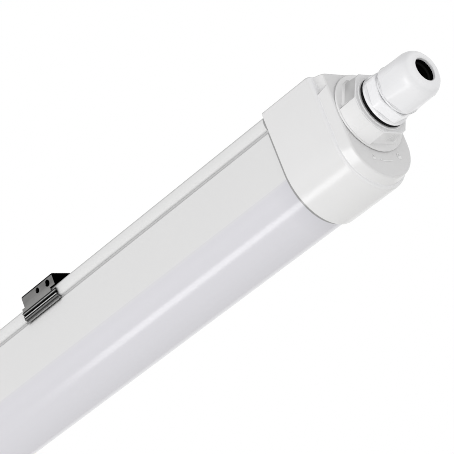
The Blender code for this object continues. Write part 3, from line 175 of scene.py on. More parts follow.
class Finish(Tree):
    """A material under construction, with its Principled shader."""

    def __init__(self, name, **constants):
        self.material = bpy.data.materials.new(name)
        self.material.use_nodes = True
        super().__init__(self.material.node_tree)
        self.shader = self.tree.nodes["Principled BSDF"]
        self.set(**constants)

    def set(self, **values):
        """Link values to the shader's sockets, or write numbers and colours there."""
        for socket, value in values.items():
            feed(self.tree, self.shader.inputs[socket.replace("_", " ")], value)

    def place(self, axis=None):
        """Where a point of the surface is, in metres, or one coordinate of it."""
        whole = self.node("ShaderNodeTexCoord", output="Object")
        if axis is None:
            return whole
        return self.node("ShaderNodeSeparateXYZ", inputs={"Vector": whole}, output=axis)

    def grain(self, scale, detail=4.0, roughness=0.5):
        """Noise about 0.5. scale is in bumps per metre, one number or one for each axis."""
        place = self.place()
        if isinstance(scale, tuple):
            place = self.node("ShaderNodeVectorMath", {"operation": "MULTIPLY"}, {0: place, 1: scale})
            scale = 1.0
        inputs = {"Vector": place, "Scale": scale, "Detail": detail, "Roughness": roughness}
        return self.node("ShaderNodeTexNoise", inputs=inputs)

    def mix(self, share, first, second):
        """One colour where share is 0 and the other where it is 1."""
        first, second = [shade if isinstance(shade, Value) else (*shade, 1) for shade in (first, second)]
        return self.node("ShaderNodeMix", {"data_type": "RGBA"}, {0: share, 6: first, 7: second}, output=2)

    def shades(self, mask, colour, spread):
        """A colour that drifts by spread to each side of itself as the mask goes from 0 to 1."""
        darker = tuple(part * (1 - spread) for part in colour)
        lighter = tuple(min(part * (1 + spread), 1) for part in colour)
        return self.mix(mask, darker, lighter)


print("finishes ready")

# %% [markdown]
# No moulding has a perfectly sharp edge. Its corners get painted shade where Ambient Occlusion finds them,
# and its upper edges get painted shade for the light that comes less from above. Rounding the edges in
# geometry would take many small faces and would change the CAD. The Bevel node only turns the direction of
# a face near an edge. The painted upper shade goes where that rounded direction points up, less on flat
# tops.

# %% Edges, corners and dust
EDGE_SAMPLES = 6
CORNER_SAMPLES = 8
# Painted shade on upper edges: its colour, its strength, and how little of it flat tops keep.
UPPER_SHADE = grey(0.20)
UPPER_SHADE_SHARE = 0.8
UPPER_SHADE_FROM = 0.55
UPPER_SHADE_BLUR = 0.5
FLAT_TOP_SHARE = 0.85
FLAT_TOP_FROM = 0.93
FLAT_TOP_BLUR = 0.1


def rounded(made, edge):
    """The direction that a face looks, as if its edges were rounded by the radius edge."""
    return made.node("ShaderNodeBevel", {"samples": EDGE_SAMPLES}, {"Radius": edge})


def openness(made, reach, darkness=1.0, local=True):
    """1 on open surface, and down to 0 in a corner, where other surface stands within reach."""
    settings = {"samples": CORNER_SAMPLES, "only_local": local}
    open_share = made.node("ShaderNodeAmbientOcclusion", settings, {"Distance": reach}, output="AO")
    return (1 - (1 - open_share) * darkness).clamped()


def shade_upper_edges(made, colour, edge, share=UPPER_SHADE_SHARE):
    """The colour, darkened by painted shade on edges that look up."""
    upwards = made.node("ShaderNodeSeparateXYZ", inputs={"Vector": rounded(made, edge)}, output="Z")
    # Painted shade where the rounded direction looks up, taken mostly off flat tops.
    upward_share = upwards.above(UPPER_SHADE_FROM, UPPER_SHADE_BLUR) - upwards.above(FLAT_TOP_FROM, FLAT_TOP_BLUR) * FLAT_TOP_SHARE
    return made.mix(upward_share * share, colour, UPPER_SHADE)


def relief(made, height, distance, edge=0.0):
    """Bumps of the given height in metres, over edges that look rounded by the radius edge."""
    inputs = {"Height": height, "Distance": distance}
    if edge:
        inputs["Normal"] = rounded(made, edge)
    made.set(Normal=made.node("ShaderNodeBump", inputs=inputs))
    return made


# Where the painted upper shade is half strength, and past which flat tops mostly lose it.
print("dust is half thick at an upward share of", UPPER_SHADE_FROM, "and mostly wiped beyond", FLAT_TOP_FROM)

# %% [markdown]
# The photograph was taken from below and beyond the gland, with a long lens. The camera could be moved by
# eye until the picture looks right. It stands instead where a fit to the cap, the collar and the tube's
# edges puts it: a direction from the cap's rim, a distance, and a small slide across the view. Turning it
# about its own axis tips the tube from the corner of the frame to the middle. The lens is fitted in pixels
# of the photograph's frame. A pixel filter that is narrower than Blender's own keeps thin outlines as
# crisp as they are there.

# %% Camera
FRAME_PIXELS = 454
FOCAL_PIXELS = 2735.58
PIXEL_FILTER = 0.9
SENSOR_MM = 36.0
NEAREST = 0.05
AZIMUTH = math.radians(-49.38)
ELEVATION = math.radians(-20.43)
ROLL = math.radians(-21.14)
DISTANCE = 1.2906
SLIDE_RIGHT = 0.03267
SLIDE_UP = 0.05264
cap_low, cap_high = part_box("end_cap_supply")
cap_rim = Vector((cap_low.x, 0, cap_high.z))


def camera_axes():
    """The camera's right, up and backward directions."""
    level = math.cos(ELEVATION)
    backward = Vector((level * math.cos(AZIMUTH), level * math.sin(AZIMUTH), math.sin(ELEVATION)))
    sideways = (-backward).cross(Vector((0, 0, 1))).normalized()
    upright = sideways.cross(-backward)
    rightward = sideways * math.cos(ROLL) + upright * math.sin(ROLL)
    upward = upright * math.cos(ROLL) - sideways * math.sin(ROLL)
    return rightward, upward, backward


right, up, back = camera_axes()
eye = cap_rim + back * DISTANCE - right * SLIDE_RIGHT - up * SLIDE_UP
lens = bpy.data.cameras.new("camera")
lens.sensor_width = SENSOR_MM
lens.lens = SENSOR_MM * FOCAL_PIXELS / FRAME_PIXELS
lens.clip_start = NEAREST
camera = bpy.data.objects.new("camera", lens)
camera.matrix_world = Matrix.Translation(eye) @ Matrix((right, up, back)).transposed().to_4x4()
bpy.context.scene.collection.objects.link(camera)
bpy.context.scene.camera = camera
bpy.context.scene.view_settings.view_transform = "Standard"
bpy.context.scene.cycles.filter_width = PIXEL_FILTER
print("camera at", [round(v, 3) for v in eye], "lens", round(lens.lens, 1), "mm")

# %% [markdown]
# The studio is a white room. Its light could come from the lamps alone, but then the shadows of a white
# object turn grey and hard. Here the room itself gives most of the light, at a level at which a colour
# renders about as it is written. The camera and every mirror-like ray see it as plain white, and Light
# Path tells these rays from the rest.

# %% White room
ROOM_LIGHT = 0.80
SEEN_RAYS = ("Is Camera Ray", "Is Glossy Ray", "Is Transmission Ray")


def white_room():
    """White to the camera and in reflections, and a softer light on the object."""
    world = bpy.data.worlds.new("white room")
    world.use_nodes = True
    room = Tree(world.node_tree)
    camera_ray, mirror_ray, clear_ray = [room.node("ShaderNodeLightPath", output=kind) for kind in SEEN_RAYS]
    seen = camera_ray.either(mirror_ray).either(clear_ray)
    shine = room.tree.nodes["Background"]
    feed(room.tree, shine.inputs["Color"], (1, 1, 1, 1))
    feed(room.tree, shine.inputs["Strength"], seen * (1 - ROOM_LIGHT) + ROOM_LIGHT)
    bpy.context.scene.world = world


white_room()
print("room light:", ROOM_LIGHT)

# %% [markdown]
# Lamps give the white object its form. Two wide ones light the underside and the near side, and stay out
# of reflections. The long lamp and the end card do the opposite and show as shine alone: the one as the
# bright line along the belly, the other where the slope round the end plate turns under. A card that stood
# higher would whiten the whole slope, because its flat side would mirror it too.

# %% Lamps
def lamp(name, place, towards, size, watts):
    """A rectangular lamp, with its width as nearly along the tube as its aim lets it be."""
    light = bpy.data.lights.new(name, "AREA")
    light.shape = "RECTANGLE"
    light.size, light.size_y = size
    light.energy = watts
    made = bpy.data.objects.new(name, light)
    forward = (Vector(towards) - Vector(place)).normalized()
    side = (Vector((1, 0, 0)) - forward * forward.x).normalized()
    axes = Matrix((side, side.cross(forward), -forward)).transposed()
    made.matrix_world = Matrix.Translation(place) @ axes.to_4x4()
    made.visible_camera = False
    bpy.context.scene.collection.objects.link(made)
    return made


shine_lamps = [
    lamp("long lamp", place=(-0.12, -1.04, -0.88), towards=(0.25, 0, -0.05), size=(1.1, 0.28), watts=3.8),
    lamp("end card", place=(0.58, -1.20, -0.43), towards=(0.59, 0, -0.04), size=(0.45, 0.8), watts=4.6),
]
wide_lamps = [
    lamp("under lamp", place=(0.4, -0.77, -1.28), towards=(0.4, 0, -0.03), size=(1.36, 1.0), watts=6.6),
    lamp("side lamp", place=(1.0, -2.0, 0.6), towards=(0.5, 0, -0.03), size=(1.2, 1.2), watts=5.2),
]
for made in shine_lamps:
    made.visible_diffuse = False
for made in wide_lamps:
    made.visible_glossy = False
print("lamps:", [made.name for made in shine_lamps + wide_lamps])

# %% [markdown]
# The floor is a pale sheet of paper far below the fixture, which hangs from a ceiling. Half the views of
# such a light look up at it, and a plain sheet would hide it from them. This one has an upper face only:
# Backfacing tells the shader which side a ray meets, and from below it lets the ray through.

# %% Floor
FLOOR_LEVEL = -2.2
FLOOR_HALF = 7.0
FLOOR_CORNERS = ((-1, -1), (1, -1), (1, 1), (-1, 1))
FLOOR_SHADE = (0.83, 0.83, 0.82)
FLOOR_SPREAD = 0.02
FLOOR_GRAIN = 3.0


def floor_finish():
    """Matt paper that is seen from above alone."""
    made = Finish("pale floor", Roughness=0.9)
    made.set(Base_Color=made.shades(made.grain(FLOOR_GRAIN), FLOOR_SHADE, FLOOR_SPREAD))
    paper = Value(made.tree, made.shader.outputs[0])
    clear = made.node("ShaderNodeBsdfTransparent")
    below = made.node("ShaderNodeNewGeometry", output="Backfacing")
    surface = made.node("ShaderNodeMixShader", inputs={0: below, 1: paper, 2: clear})
    feed(made.tree, made.tree.nodes["Material Output"].inputs["Surface"], surface)
    return made


floor_mesh = bpy.data.meshes.new("floor")
floor_points = [(x * FLOOR_HALF, y * FLOOR_HALF, FLOOR_LEVEL) for x, y in FLOOR_CORNERS]
floor_mesh.from_pydata(floor_points, [], [(0, 1, 2, 3)])
floor_mesh.materials.append(floor_finish().material)
floor = bpy.data.objects.new("floor", floor_mesh)
bpy.context.scene.collection.objects.link(floor)
print("floor at", FLOOR_LEVEL)

# %% [markdown]
# CAD solids arrive as flat facets. Welding their points and shading by angle lets light run smoothly over
# the belly, the dome and the rings, while real edges stay sharp. Smoothing the mesh itself would round
# those edges too. Modifiers do the work, so no CAD point moves.

# %% Smooth shading
SMOOTH_ANGLE = math.radians(32)
WELD = 0.00001


def shading_group():
    """A node group that shades smoothly across every edge that turns by less than the smooth angle."""
    group = bpy.data.node_groups.new("shade by angle", "GeometryNodeTree")
    for direction in ("INPUT", "OUTPUT"):
        group.interface.new_socket("Geometry", in_out=direction, socket_type="NodeSocketGeometry")
    shading = Tree(group)
    solid_in = shading.node("NodeGroupInput")
    turn = shading.node("GeometryNodeInputMeshEdgeAngle", output="Unsigned Angle")
    gentle = shading.node("FunctionNodeCompare", {"operation": "LESS_THAN"}, {"A": turn, "B": SMOOTH_ANGLE})
    faces = shading.node("GeometryNodeSetShadeSmooth", inputs={"Geometry": solid_in})
    by_edge = {"Geometry": faces, "Shade Smooth": gentle}
    edges = shading.node("GeometryNodeSetShadeSmooth", {"domain": "EDGE"}, by_edge)
    feed(group, group.nodes.new("NodeGroupOutput").inputs[0], edges)
    return group


by_angle = shading_group()
for solid in nodes.values():
    weld = solid.modifiers.new("weld", "WELD")
    weld.merge_threshold = WELD
    solid.modifiers.new("shading", "NODES").node_group = by_angle
print("smoothed", len(nodes), "solids")

# %% [markdown]
# The end plate tells the fitter which way the collar turns: a shut padlock, an open one and an arc between
# them, raised about a fifth of a millimetre by shallow cuts in the mould. A bump could draw them, but they
# would vanish from the side. They are too small for the CAD solid, so they are flat outlines that are
# pushed out of the plate. A stroke is a path with the same width on both sides, and a padlock's measures
# are shares of its width.

# %% Outlines of the marks
LOCK_HALF_HEIGHT = 0.36
SHACKLE_REACH = 0.30
SHACKLE_RISE = 0.22
SHACKLE_LINE = 0.16
FOOT_IN_BODY = 0.8
ARC_STEPS = 12


def on_circle(middle, radius, turn):
    """The point of a circle at an angle."""
    y, z = middle
    return Vector((y + radius * math.cos(turn), z + radius * math.sin(turn)))


def arc(middle, radius, start, end):
    """Points along part of a circle."""
    turns = [start + (end - start) * step / ARC_STEPS for step in range(ARC_STEPS + 1)]
    return [on_circle(middle, radius, turn) for turn in turns]


def stroke(path, width):
    """The outline of a line of the given width along a path of (y, z) points."""
    left = []
    right = []
    for before, point, after in zip([path[0], *path], path, [*path[1:], path[-1]]):
        along = (after - before).normalized()
        across = Vector((-along.y, along.x)) * width / 2
        left.append(point + across)
        right.append(point - across)
    return left + right[::-1]


def padlock(middle, size, swing):
    """A padlock's body and its shackle, which swings about its left foot."""
    wide = size / 2
    tall = size * LOCK_HALF_HEIGHT
    corners = ((-wide, -tall), (wide, -tall), (wide, tall), (-wide, tall))
    reach = size * SHACKLE_REACH
    foot = middle + Vector((-reach, tall * FOOT_IN_BODY))
    bow = arc((reach, size * SHACKLE_RISE), reach, 0, math.pi)
    shackle = [Vector((reach * 2, 0)), *bow, Vector((0, 0))]
    lean = Matrix.Rotation(swing, 2)
    leaning = [foot + lean @ point for point in shackle]
    return [[middle + Vector(corner) for corner in corners], stroke(leaning, size * SHACKLE_LINE)]


print("a padlock has", [len(outline) for outline in padlock(Vector((0, 0)), 1.0, 0.0)], "points")

# %% [markdown]
# Each mark is one mesh of prisms. They could be sunk into a copy of the plate, but solids that only
# overlap it are simpler, and no gap shows where they start a little inside. They stand at one distance
# from the collar's axis, which the round seal between collar and gland gives. The open padlock is larger
# because its shackle leans out.

# %% Raised marks
MARK_RAISE = 0.00022
MARK_SINK = 0.0002
MARK_RING = 0.0249
MARK_LINE = 0.00045
LOCK_SIZE = 0.0019
OPEN_SHARE = 1.15
SHUT_AT = math.radians(251.2)
OPEN_AT = math.radians(293.5)
ARC_FROM = math.radians(260.2)
ARC_TO = math.radians(279.9)
SWING = math.radians(32)
plate_front = cap_high.x
seal_low, seal_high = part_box("ring_seal")
axis = (0, (seal_low.z + seal_high.z) / 2)


def raised(name, outlines):
    """Prisms that stand on the plate, one for each outline."""
    bm = bmesh.new()
    for outline in outlines:
        foot = [bm.verts.new((plate_front - MARK_SINK, y, z)) for y, z in outline]
        top = [bm.verts.new((plate_front + MARK_RAISE, y, z)) for y, z in outline]
        bm.faces.new(foot)
        bm.faces.new(top)
        for here in range(len(outline)):
            bm.faces.new((foot[here - 1], foot[here], top[here], top[here - 1]))
    bmesh.ops.recalc_face_normals(bm, faces=bm.faces)
    mesh = bpy.data.meshes.new(name)
    bm.to_mesh(mesh)
    bm.free()
    made = bpy.data.objects.new(name, mesh)
    bpy.context.scene.collection.objects.link(made)
    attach(made, "housing")
    return made


marks = [
    raised("mark_shut", padlock(on_circle(axis, MARK_RING, SHUT_AT), LOCK_SIZE, 0.0)),
    raised("mark_open", padlock(on_circle(axis, MARK_RING, OPEN_AT), LOCK_SIZE * OPEN_SHARE, SWING)),
    raised("mark_arc", [stroke(arc(axis, MARK_RING, ARC_FROM, ARC_TO), MARK_LINE)]),
]
print("marks:", [made.name for made in marks])

# %% [markdown]
# One extrusion makes the whole tube: opaque white above, opal below, drawn through one die. The two melts
# meet in a straight line along each side. Two materials would need a seam of edges there, and the CAD has
# none, so the height alone tells one shader which melt it is. The opal is cooler and glossier, and gets
# painted shade near a cap. The rails are painted whiter, a painted highlight. Die lines run along the tube,
# so its fine relief is noise drawn out along X. Corners and upper edges get painted shade, and a painted
# shadow draws a dark line where the tube goes into a cap.

# %% Tube
OPAL_DEPTH = 0.0333
OPAL_BLUR = 0.0026
RAIL_DEPTH = 0.0067
RAIL_BLUR = 0.0004
WHITE = (0.735, 0.733, 0.735)
RAIL_HIGHLIGHT_WHITE = grey(0.765)
OPAL = (0.690, 0.683, 0.722)
WHITE_GRAIN = 9.0
WHITE_SPREAD = 0.012
OPAL_SPREAD = 0.010
DIE_LINES = (1.5, 900.0, 900.0)
DIE_DEPTH = 0.000012
DIE_EDGE = 0.0002
WHITE_ROUGHNESS = 0.34
OPAL_GLOSS = 0.22
DIE_ROUGHNESS = 0.04
NEAR_CAP = 0.014
NEAR_CAP_SHARE = 0.3
NEAR_CAP_SHADE = (0.5, 0.5, 0.54)
TUBE_CREASE = 0.0012
TUBE_CREASE_DARKNESS = 1.6
TUBE_CREASE_SHADE = grey(0.20)
TUBE_UPPER_SHADE_EDGE = 0.0006
RIM_SHADOW = 0.0021
RIM_BLUR = 0.0003
RIM_SHADE = grey(0.33)
tube_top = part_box("housing_tube")[1].z
dressed = []


def tube_finish():
    """Opaque white above, opal below, die lines, a painted highlight on the rails and painted shadow at each
    cap.
    """
    made = Finish("co-extruded tube")
    opal = 1 - made.place("Z").above(tube_top - OPAL_DEPTH, OPAL_BLUR)
    rail = made.place("Z").above(tube_top - RAIL_DEPTH, RAIL_BLUR)
    lines = made.grain(DIE_LINES, detail=3.0)
    cloud = made.grain(WHITE_GRAIN, detail=2.0)
    white = made.shades(cloud, WHITE, WHITE_SPREAD)
    # The rails get a painted highlight: the same plastic, drawn whiter.
    rail_highlight = made.shades(cloud, RAIL_HIGHLIGHT_WHITE, WHITE_SPREAD)
    plain = made.mix(opal, made.mix(rail, white, rail_highlight), made.shades(lines, OPAL, OPAL_SPREAD))
    from_middle = abs(made.place("X"))
    # Painted shade on the opal near each cap.
    near_cap = from_middle.above(cap_rim.x - NEAR_CAP / 2, NEAR_CAP) * opal
    plain = made.mix(near_cap * NEAR_CAP_SHARE, plain, NEAR_CAP_SHADE)
    # Painted shade in corners and gaps, then painted shade on upper edges.
    open_share = openness(made, TUBE_CREASE, TUBE_CREASE_DARKNESS, local=False)
    plain = shade_upper_edges(made, made.mix(open_share, TUBE_CREASE_SHADE, plain), TUBE_UPPER_SHADE_EDGE)
    # A painted shadow along each cap's rim.
    at_rim = from_middle.above(cap_rim.x - RIM_SHADOW, RIM_BLUR)
    made.set(Base_Color=made.mix(at_rim, plain, RIM_SHADE))
    made.set(Roughness=WHITE_ROUGHNESS - opal * OPAL_GLOSS + lines * DIE_ROUGHNESS)
    return relief(made, lines, DIE_DEPTH, DIE_EDGE)


def dress(finish, *names):
    """Give CAD solids a finish."""
    for name in names:
        slots = nodes[name].data.materials
        slots.clear()
        slots.append(finish.material)
    dressed.extend(names)
    print(finish.material.name, "on", ", ".join(names))


dress(tube_finish(), "housing_tube")

# %% [markdown]
# The end caps, the collar and the gland are injection moulded. A polished mould gives a satin skin with a
# faint orange peel, and the colour clouds a little where the melt flowed. A photograph of plastic could be
# laid on them, but noise has no seams and needs no unwrapping. One recipe makes all of them, because they
# differ only in colour, shine and the sizes of their edges. Their corners get painted shade, and a band
# between two places along X can be painted paler, as painted light where light falls on a rim or slope.

# %% Mouldings
SKIN_GRAIN = 1400.0
SKIN_DEPTH = 0.000009
MOULD_CLOUD = 60.0
MOULD_SPREAD = 0.014
MOULD_SHINE_SPREAD = 0.06
MOULD_CREASE_SHADE = grey(0.25)
# The colour of the bands of painted light, and how soft their ends are.
PAINTED_LIGHT_WHITE = (0.95, 0.95, 0.965)
LIGHT_BAND_BLUR = 0.0015
LIGHT_BAND_END_BLUR = 0.0005
UPPER_SHADE_PER_EDGE = 1.5


def moulding(name, colour, roughness, edge, crease, darkness=1.0, worn=None, dust=UPPER_SHADE_SHARE):
    """Moulded plastic. worn is where along X its band of painted light starts and ends."""
    made = Finish(name)
    cloud = made.grain(MOULD_CLOUD, detail=3.0)
    skin = made.grain(SKIN_GRAIN, detail=2.0)
    plain = made.shades(cloud, colour, MOULD_SPREAD)
    # Painted shade in corners, creases and gaps that Ambient Occlusion finds.
    plain = made.mix(openness(made, crease, darkness, local=False), MOULD_CREASE_SHADE, plain)
    if worn:
        # A band of painted light: paler between the two places along X.
        from_middle = abs(made.place("X"))
        lit_band = from_middle.above(worn[0], LIGHT_BAND_BLUR) - from_middle.above(worn[1], LIGHT_BAND_END_BLUR)
        plain = made.mix(lit_band, plain, PAINTED_LIGHT_WHITE)
    made.set(Base_Color=shade_upper_edges(made, plain, edge * UPPER_SHADE_PER_EDGE, dust))
    made.set(Roughness=roughness - MOULD_SHINE_SPREAD / 2 + cloud * MOULD_SHINE_SPREAD)
    return relief(made, skin, SKIN_DEPTH, edge)


print("the skin's bumps are about", round(1000 / SKIN_GRAIN, 1), "mm apart")

# %% [markdown]
# The caps and the marks are the shiniest, and the gland's nylon is cooler in colour than the caps and the
# collar. The gland's hexagon is painted lighter than its nut, as painted light on its faces. The bands of
# painted light could be painted by hand, but they follow edges that the CAD gives, so each is measured back
# from the front of its piece: the line where a cap's side meets the slope round its end plate, the collar's
# rim and the nut's mouth. The marks are painted paler than the cap that they stand on, as a painted
# highlight, so that they show.

# %% Caps, collar, gland and marks
CAP_WHITE = (0.780, 0.777, 0.780)
COLLAR_WHITE = (0.845, 0.842, 0.845)
# The hexagon is the nut's nylon painted lighter, as painted light on its faces.
HEXAGON_LIT_WHITE = (0.900, 0.900, 0.915)
NUT_WHITE = (0.835, 0.835, 0.850)
# The marks are the caps' plastic painted paler, as a painted highlight.
MARK_HIGHLIGHT_WHITE = grey(0.900)
POLISHED = 0.20
SATIN = 0.28
CAP_DARKNESS = 0.15
NUT_UPPER_SHADE = 0.3
SLOPE_FOOT_FROM = 0.0060
SLOPE_FOOT_TO = 0.0054
COLLAR_RIM_WIDTH = 0.0002
NUT_RIM_WIDTH = 0.0012
PAST_THE_FRONT = 1.0
collar_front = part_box("twist_collar")[1].x
nut_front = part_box("gland_nut")[1].x
slope_foot = (plate_front - SLOPE_FOOT_FROM, plate_front - SLOPE_FOOT_TO)
collar_rim = (collar_front - COLLAR_RIM_WIDTH, PAST_THE_FRONT)
nut_rim = (nut_front - NUT_RIM_WIDTH, PAST_THE_FRONT)

cap_finish = moulding(
    "cap moulding", CAP_WHITE, POLISHED, edge=0.0005, crease=0.0003, darkness=CAP_DARKNESS, worn=slope_foot
)
collar_finish = moulding("collar moulding", COLLAR_WHITE, SATIN, edge=0.0004, crease=0.0002, worn=collar_rim)
lit_hexagon_finish = moulding("gland hexagon", HEXAGON_LIT_WHITE, SATIN, edge=0.0004, crease=0.0003)
nut_finish = moulding(
    "gland nylon", NUT_WHITE, SATIN, edge=0.0004, crease=0.0003, worn=nut_rim, dust=NUT_UPPER_SHADE
)
mark_finish = moulding("mark moulding", MARK_HIGHLIGHT_WHITE, POLISHED, edge=0.0001, crease=0.0001)

dress(cap_finish, "end_cap_supply", "end_cap_blank")
dress(collar_finish, "twist_collar")
dress(lit_hexagon_finish, "gland_body")
dress(nut_finish, "gland_nut")
for made in marks:
    made.data.materials.append(mark_finish.material)
print("worn from", [round(band[0], 4) for band in (slope_foot, collar_rim, nut_rim)])

# %% [markdown]
# Rubber is matt and finely pitted, and so black that its mirror shine has to be turned down too. The pits
# could be modelled, but at less than a millimetre across a bump does as well. The same recipe, a colour
# that drifts with fine noise and shallow pits, does for the foam gaskets and for the plastics inside. They
# are out of sight behind the opal, and they still get the colours of real ones, for whoever opens the
# fixture.

# %% Rubber and plastics
DULL = 0.08
PIT_ROUGHNESS = 0.12


def pitted(name, colour, roughness, scale, depth, spread=0.15, shine=0.5):
    """A matt material with fine pits."""
    made = Finish(name, Specular_IOR_Level=shine)
    pits = made.grain(scale, detail=5.0, roughness=0.6)
    made.set(Base_Color=made.shades(pits, colour, spread))
    made.set(Roughness=roughness - PIT_ROUGHNESS / 2 + pits * PIT_ROUGHNESS)
    return relief(made, pits, depth)


rubber = pitted("black rubber", grey(0.004), roughness=0.55, scale=2200.0, depth=0.00002, shine=DULL)
slick_nylon = pitted("dark nylon", grey(0.003), roughness=0.45, scale=1500.0, depth=0.00001, shine=DULL)
foam = pitted("silicone foam", (0.35, 0.35, 0.36), roughness=0.65, scale=1800.0, depth=0.00004)
circuit_green = pitted("circuit green", (0.02, 0.16, 0.06), roughness=0.40, scale=1200.0, depth=0.00001)
white_plastic = pitted(
    "white plastic", (0.74, 0.74, 0.72), roughness=0.42, scale=900.0, depth=0.00001, spread=0.02
)
rivets = [f"board_rivet_{count}" for count in (1, 2, 3, 4)]

dress(rubber, "cover_seal", "ring_seal", "gland_bush")
dress(slick_nylon, "slip_ring")
dress(foam, "gasket_supply", "gasket_blank")
dress(circuit_green, "driver_board")
dress(white_plastic, "board_link", *rivets, "driver_plug_supply", "driver_plug_led", "terminal_block")

# %% [markdown]
# A lead is copper in coloured insulation, and the colour says what it carries. The earth lead is green
# with yellow stripes. They could be a picture wrapped round it, but each is only a stretch along the lead
# where a sine wave is high, which needs no drawing.

# %% Leads
STRIPE_PITCH = 0.006
STRIPE_LEVEL = 0.2
STRIPE_BLUR = 0.1
EARTH_GREEN = (0.07, 0.36, 0.07)
EARTH_YELLOW = (0.75, 0.62, 0.05)
LEAD_ROUGHNESS = 0.42
STRIPED_ROUGHNESS = 0.40
FLECK_ROUGHNESS = 0.08
LEAD_GRAIN = 1500.0
LEAD_RELIEF = 0.000006
LEADS = (
    ("live_lead", "brown", (0.18, 0.07, 0.03)),
    ("neutral_lead", "blue", (0.05, 0.14, 0.45)),
    ("plus_lead", "red", (0.55, 0.03, 0.03)),
    ("minus_lead", "black", grey(0.02)),
)


def striped(name, first, second):
    """Two-colour insulation, with stripes of the second colour along the lead."""
    made = Finish(name)
    wave = (made.place("X") / STRIPE_PITCH * math.tau).math("SINE")
    fleck = made.grain(LEAD_GRAIN, detail=2.0)
    made.set(Base_Color=made.mix(wave.above(STRIPE_LEVEL, STRIPE_BLUR), first, second))
    made.set(Roughness=STRIPED_ROUGHNESS + fleck * FLECK_ROUGHNESS)
    return relief(made, fleck, LEAD_RELIEF)


for lead, word, colour in LEADS:
    dress(pitted(f"{word} insulation", colour, LEAD_ROUGHNESS, LEAD_GRAIN, LEAD_RELIEF), lead)
dress(striped("green and yellow insulation", EARTH_GREEN, EARTH_YELLOW), "earth_lead")

# %% [markdown]
# Screws, the driver's case and the gear tray are bare metal. Brushing or rolling leaves scratches in one
# direction. The shader's Anisotropic setting would stretch the shine but draw no scratch, so on the tray
# noise is drawn out along it instead. Corners get painted shade, nearly black.

# %% Metals
METAL_CREASE = 0.0005
METAL_SPREAD = 0.22
SCRATCH_SHARE = 0.7
SCRATCH_ROUGHNESS = 0.2
STAIN_GRAIN = 45.0
# Painted shade for corners.
CORNER_SHADE = grey(0.01)


def brushed(name, colour, roughness, scale, depth):
    """Bare metal with scratches, stains and painted shade in its corners."""
    made = Finish(name, Metallic=1.0)
    scratches = made.grain(scale, detail=6.0, roughness=0.7)
    stains = made.grain(STAIN_GRAIN, detail=3.0)
    wear = scratches * SCRATCH_SHARE + stains * (1 - SCRATCH_SHARE)
    plain = made.shades(wear, colour, METAL_SPREAD)
    # Painted shade in corners that Ambient Occlusion finds.
    made.set(Base_Color=made.mix(openness(made, METAL_CREASE), CORNER_SHADE, plain))
    made.set(Roughness=roughness + scratches * SCRATCH_ROUGHNESS)
    return relief(made, scratches, depth)


plated = brushed(
    "plated steel", (0.55, 0.55, 0.56), roughness=0.28, scale=(600.0, 600.0, 600.0), depth=0.000005
)
aluminium = brushed(
    "mill aluminium", (0.72, 0.73, 0.75), roughness=0.32, scale=(8.0, 700.0, 700.0), depth=0.00001
)
clamp_screws = [f"clamp_screw_{count}" for count in (1, 2, 3)]

dress(plated, "earth_lug", "earth_screw", "driver_screw_1", "driver_screw_2", *clamp_screws, "driver_case")
dress(aluminium, "gear_tray")

# %% [markdown]
# The clips are cut from brushed stainless strip and folded into ridges. They mirror a dark corner of the
# studio, and that reflection is painted into their colour: a painted highlight just below each crest,
# painted black in the grooves between, and a painted grey on the flat leg above, lighter towards its foot.
# The inner side of the strip and a thin band along the top of the leg are painted black, as painted shade.
# A dark card beside each clip could do this, but it would show in other views. The folds run along the
# tube, so a colour ramp by depth below the ceiling paints them crest by crest. The shader's own mirror
# shine at low angles would grey the black parts, so its tint is black.

# %% Clips
CLIP_SCRATCHES = (40.0, 2600.0, 2600.0)
CLIP_STAINS = (60.0, 260.0, 260.0)
STAIN_SHARE = 0.7
CLIP_ROUGHNESS = 0.26
CLIP_RELIEF = 0.00001
CLIP_EDGE = 0.0002
CLIP_INSIDE = 0.0231
CLIP_BLUR = 0.0002
WEB_DEPTH = 0.0001
WEB_BLUR = 0.0001
WEB_STEEL = (0.55, 0.547, 0.54)
WEB_SPREAD = 0.3
CORNER_DEPTH = 0.0011
CORNER_BLUR = 0.0004
# Painted shade, the leg's painted dark reflection, and a lighter painted reflection at its foot.
PAINTED_SHADE_STEEL = (0.012, 0.012, 0.011)
LEG_DARK_REFLECTION = (0.215, 0.213, 0.21)
LEG_SPREAD = 0.6
LEG_FOOT_DEPTH = 0.0065
LEG_FOOT_BLUR = 0.003
LEG_FOOT_SHARE = 0.5
LEG_FOOT_REFLECTION = (0.36, 0.357, 0.35)
FOLDS_FROM = 0.008
FOLDS_TO = 0.015
# Painted reflection and shade for each fold, by depth below the ceiling.
FOLD_REFLECTION_TONES = (
    # painted reflection on the foot of the leg and the flank that runs out to the first crest
    (0.0080, 0.24), (0.0084, 0.12), (0.0089, 0.03), (0.0093, 0.04),
    # a painted highlight below the first crest, then painted black shade in a groove
    (0.0096, 0.30), (0.0098, 0.04), (0.0101, 0.003), (0.01115, 0.003),
    # a painted highlight below the second crest, then painted dark shade in a groove
    (0.01145, 0.50), (0.01165, 0.05), (0.0121, 0.015),
    # a painted highlight below the third crest, then painted shade on the slope that runs in under the rail
    (0.0127, 0.34), (0.0131, 0.05),
    # painted reflection on the lip, which flares out, and on its cut edge
    (0.0135, 0.45), (0.0141, 0.40), (0.0146, 0.17), (0.0149, 0.20),
)


def fold_share(depth):
    """How far down the folds a depth is, from 0 to 1, for a number or a value."""
    return (depth - FOLDS_FROM) / (FOLDS_TO - FOLDS_FROM)


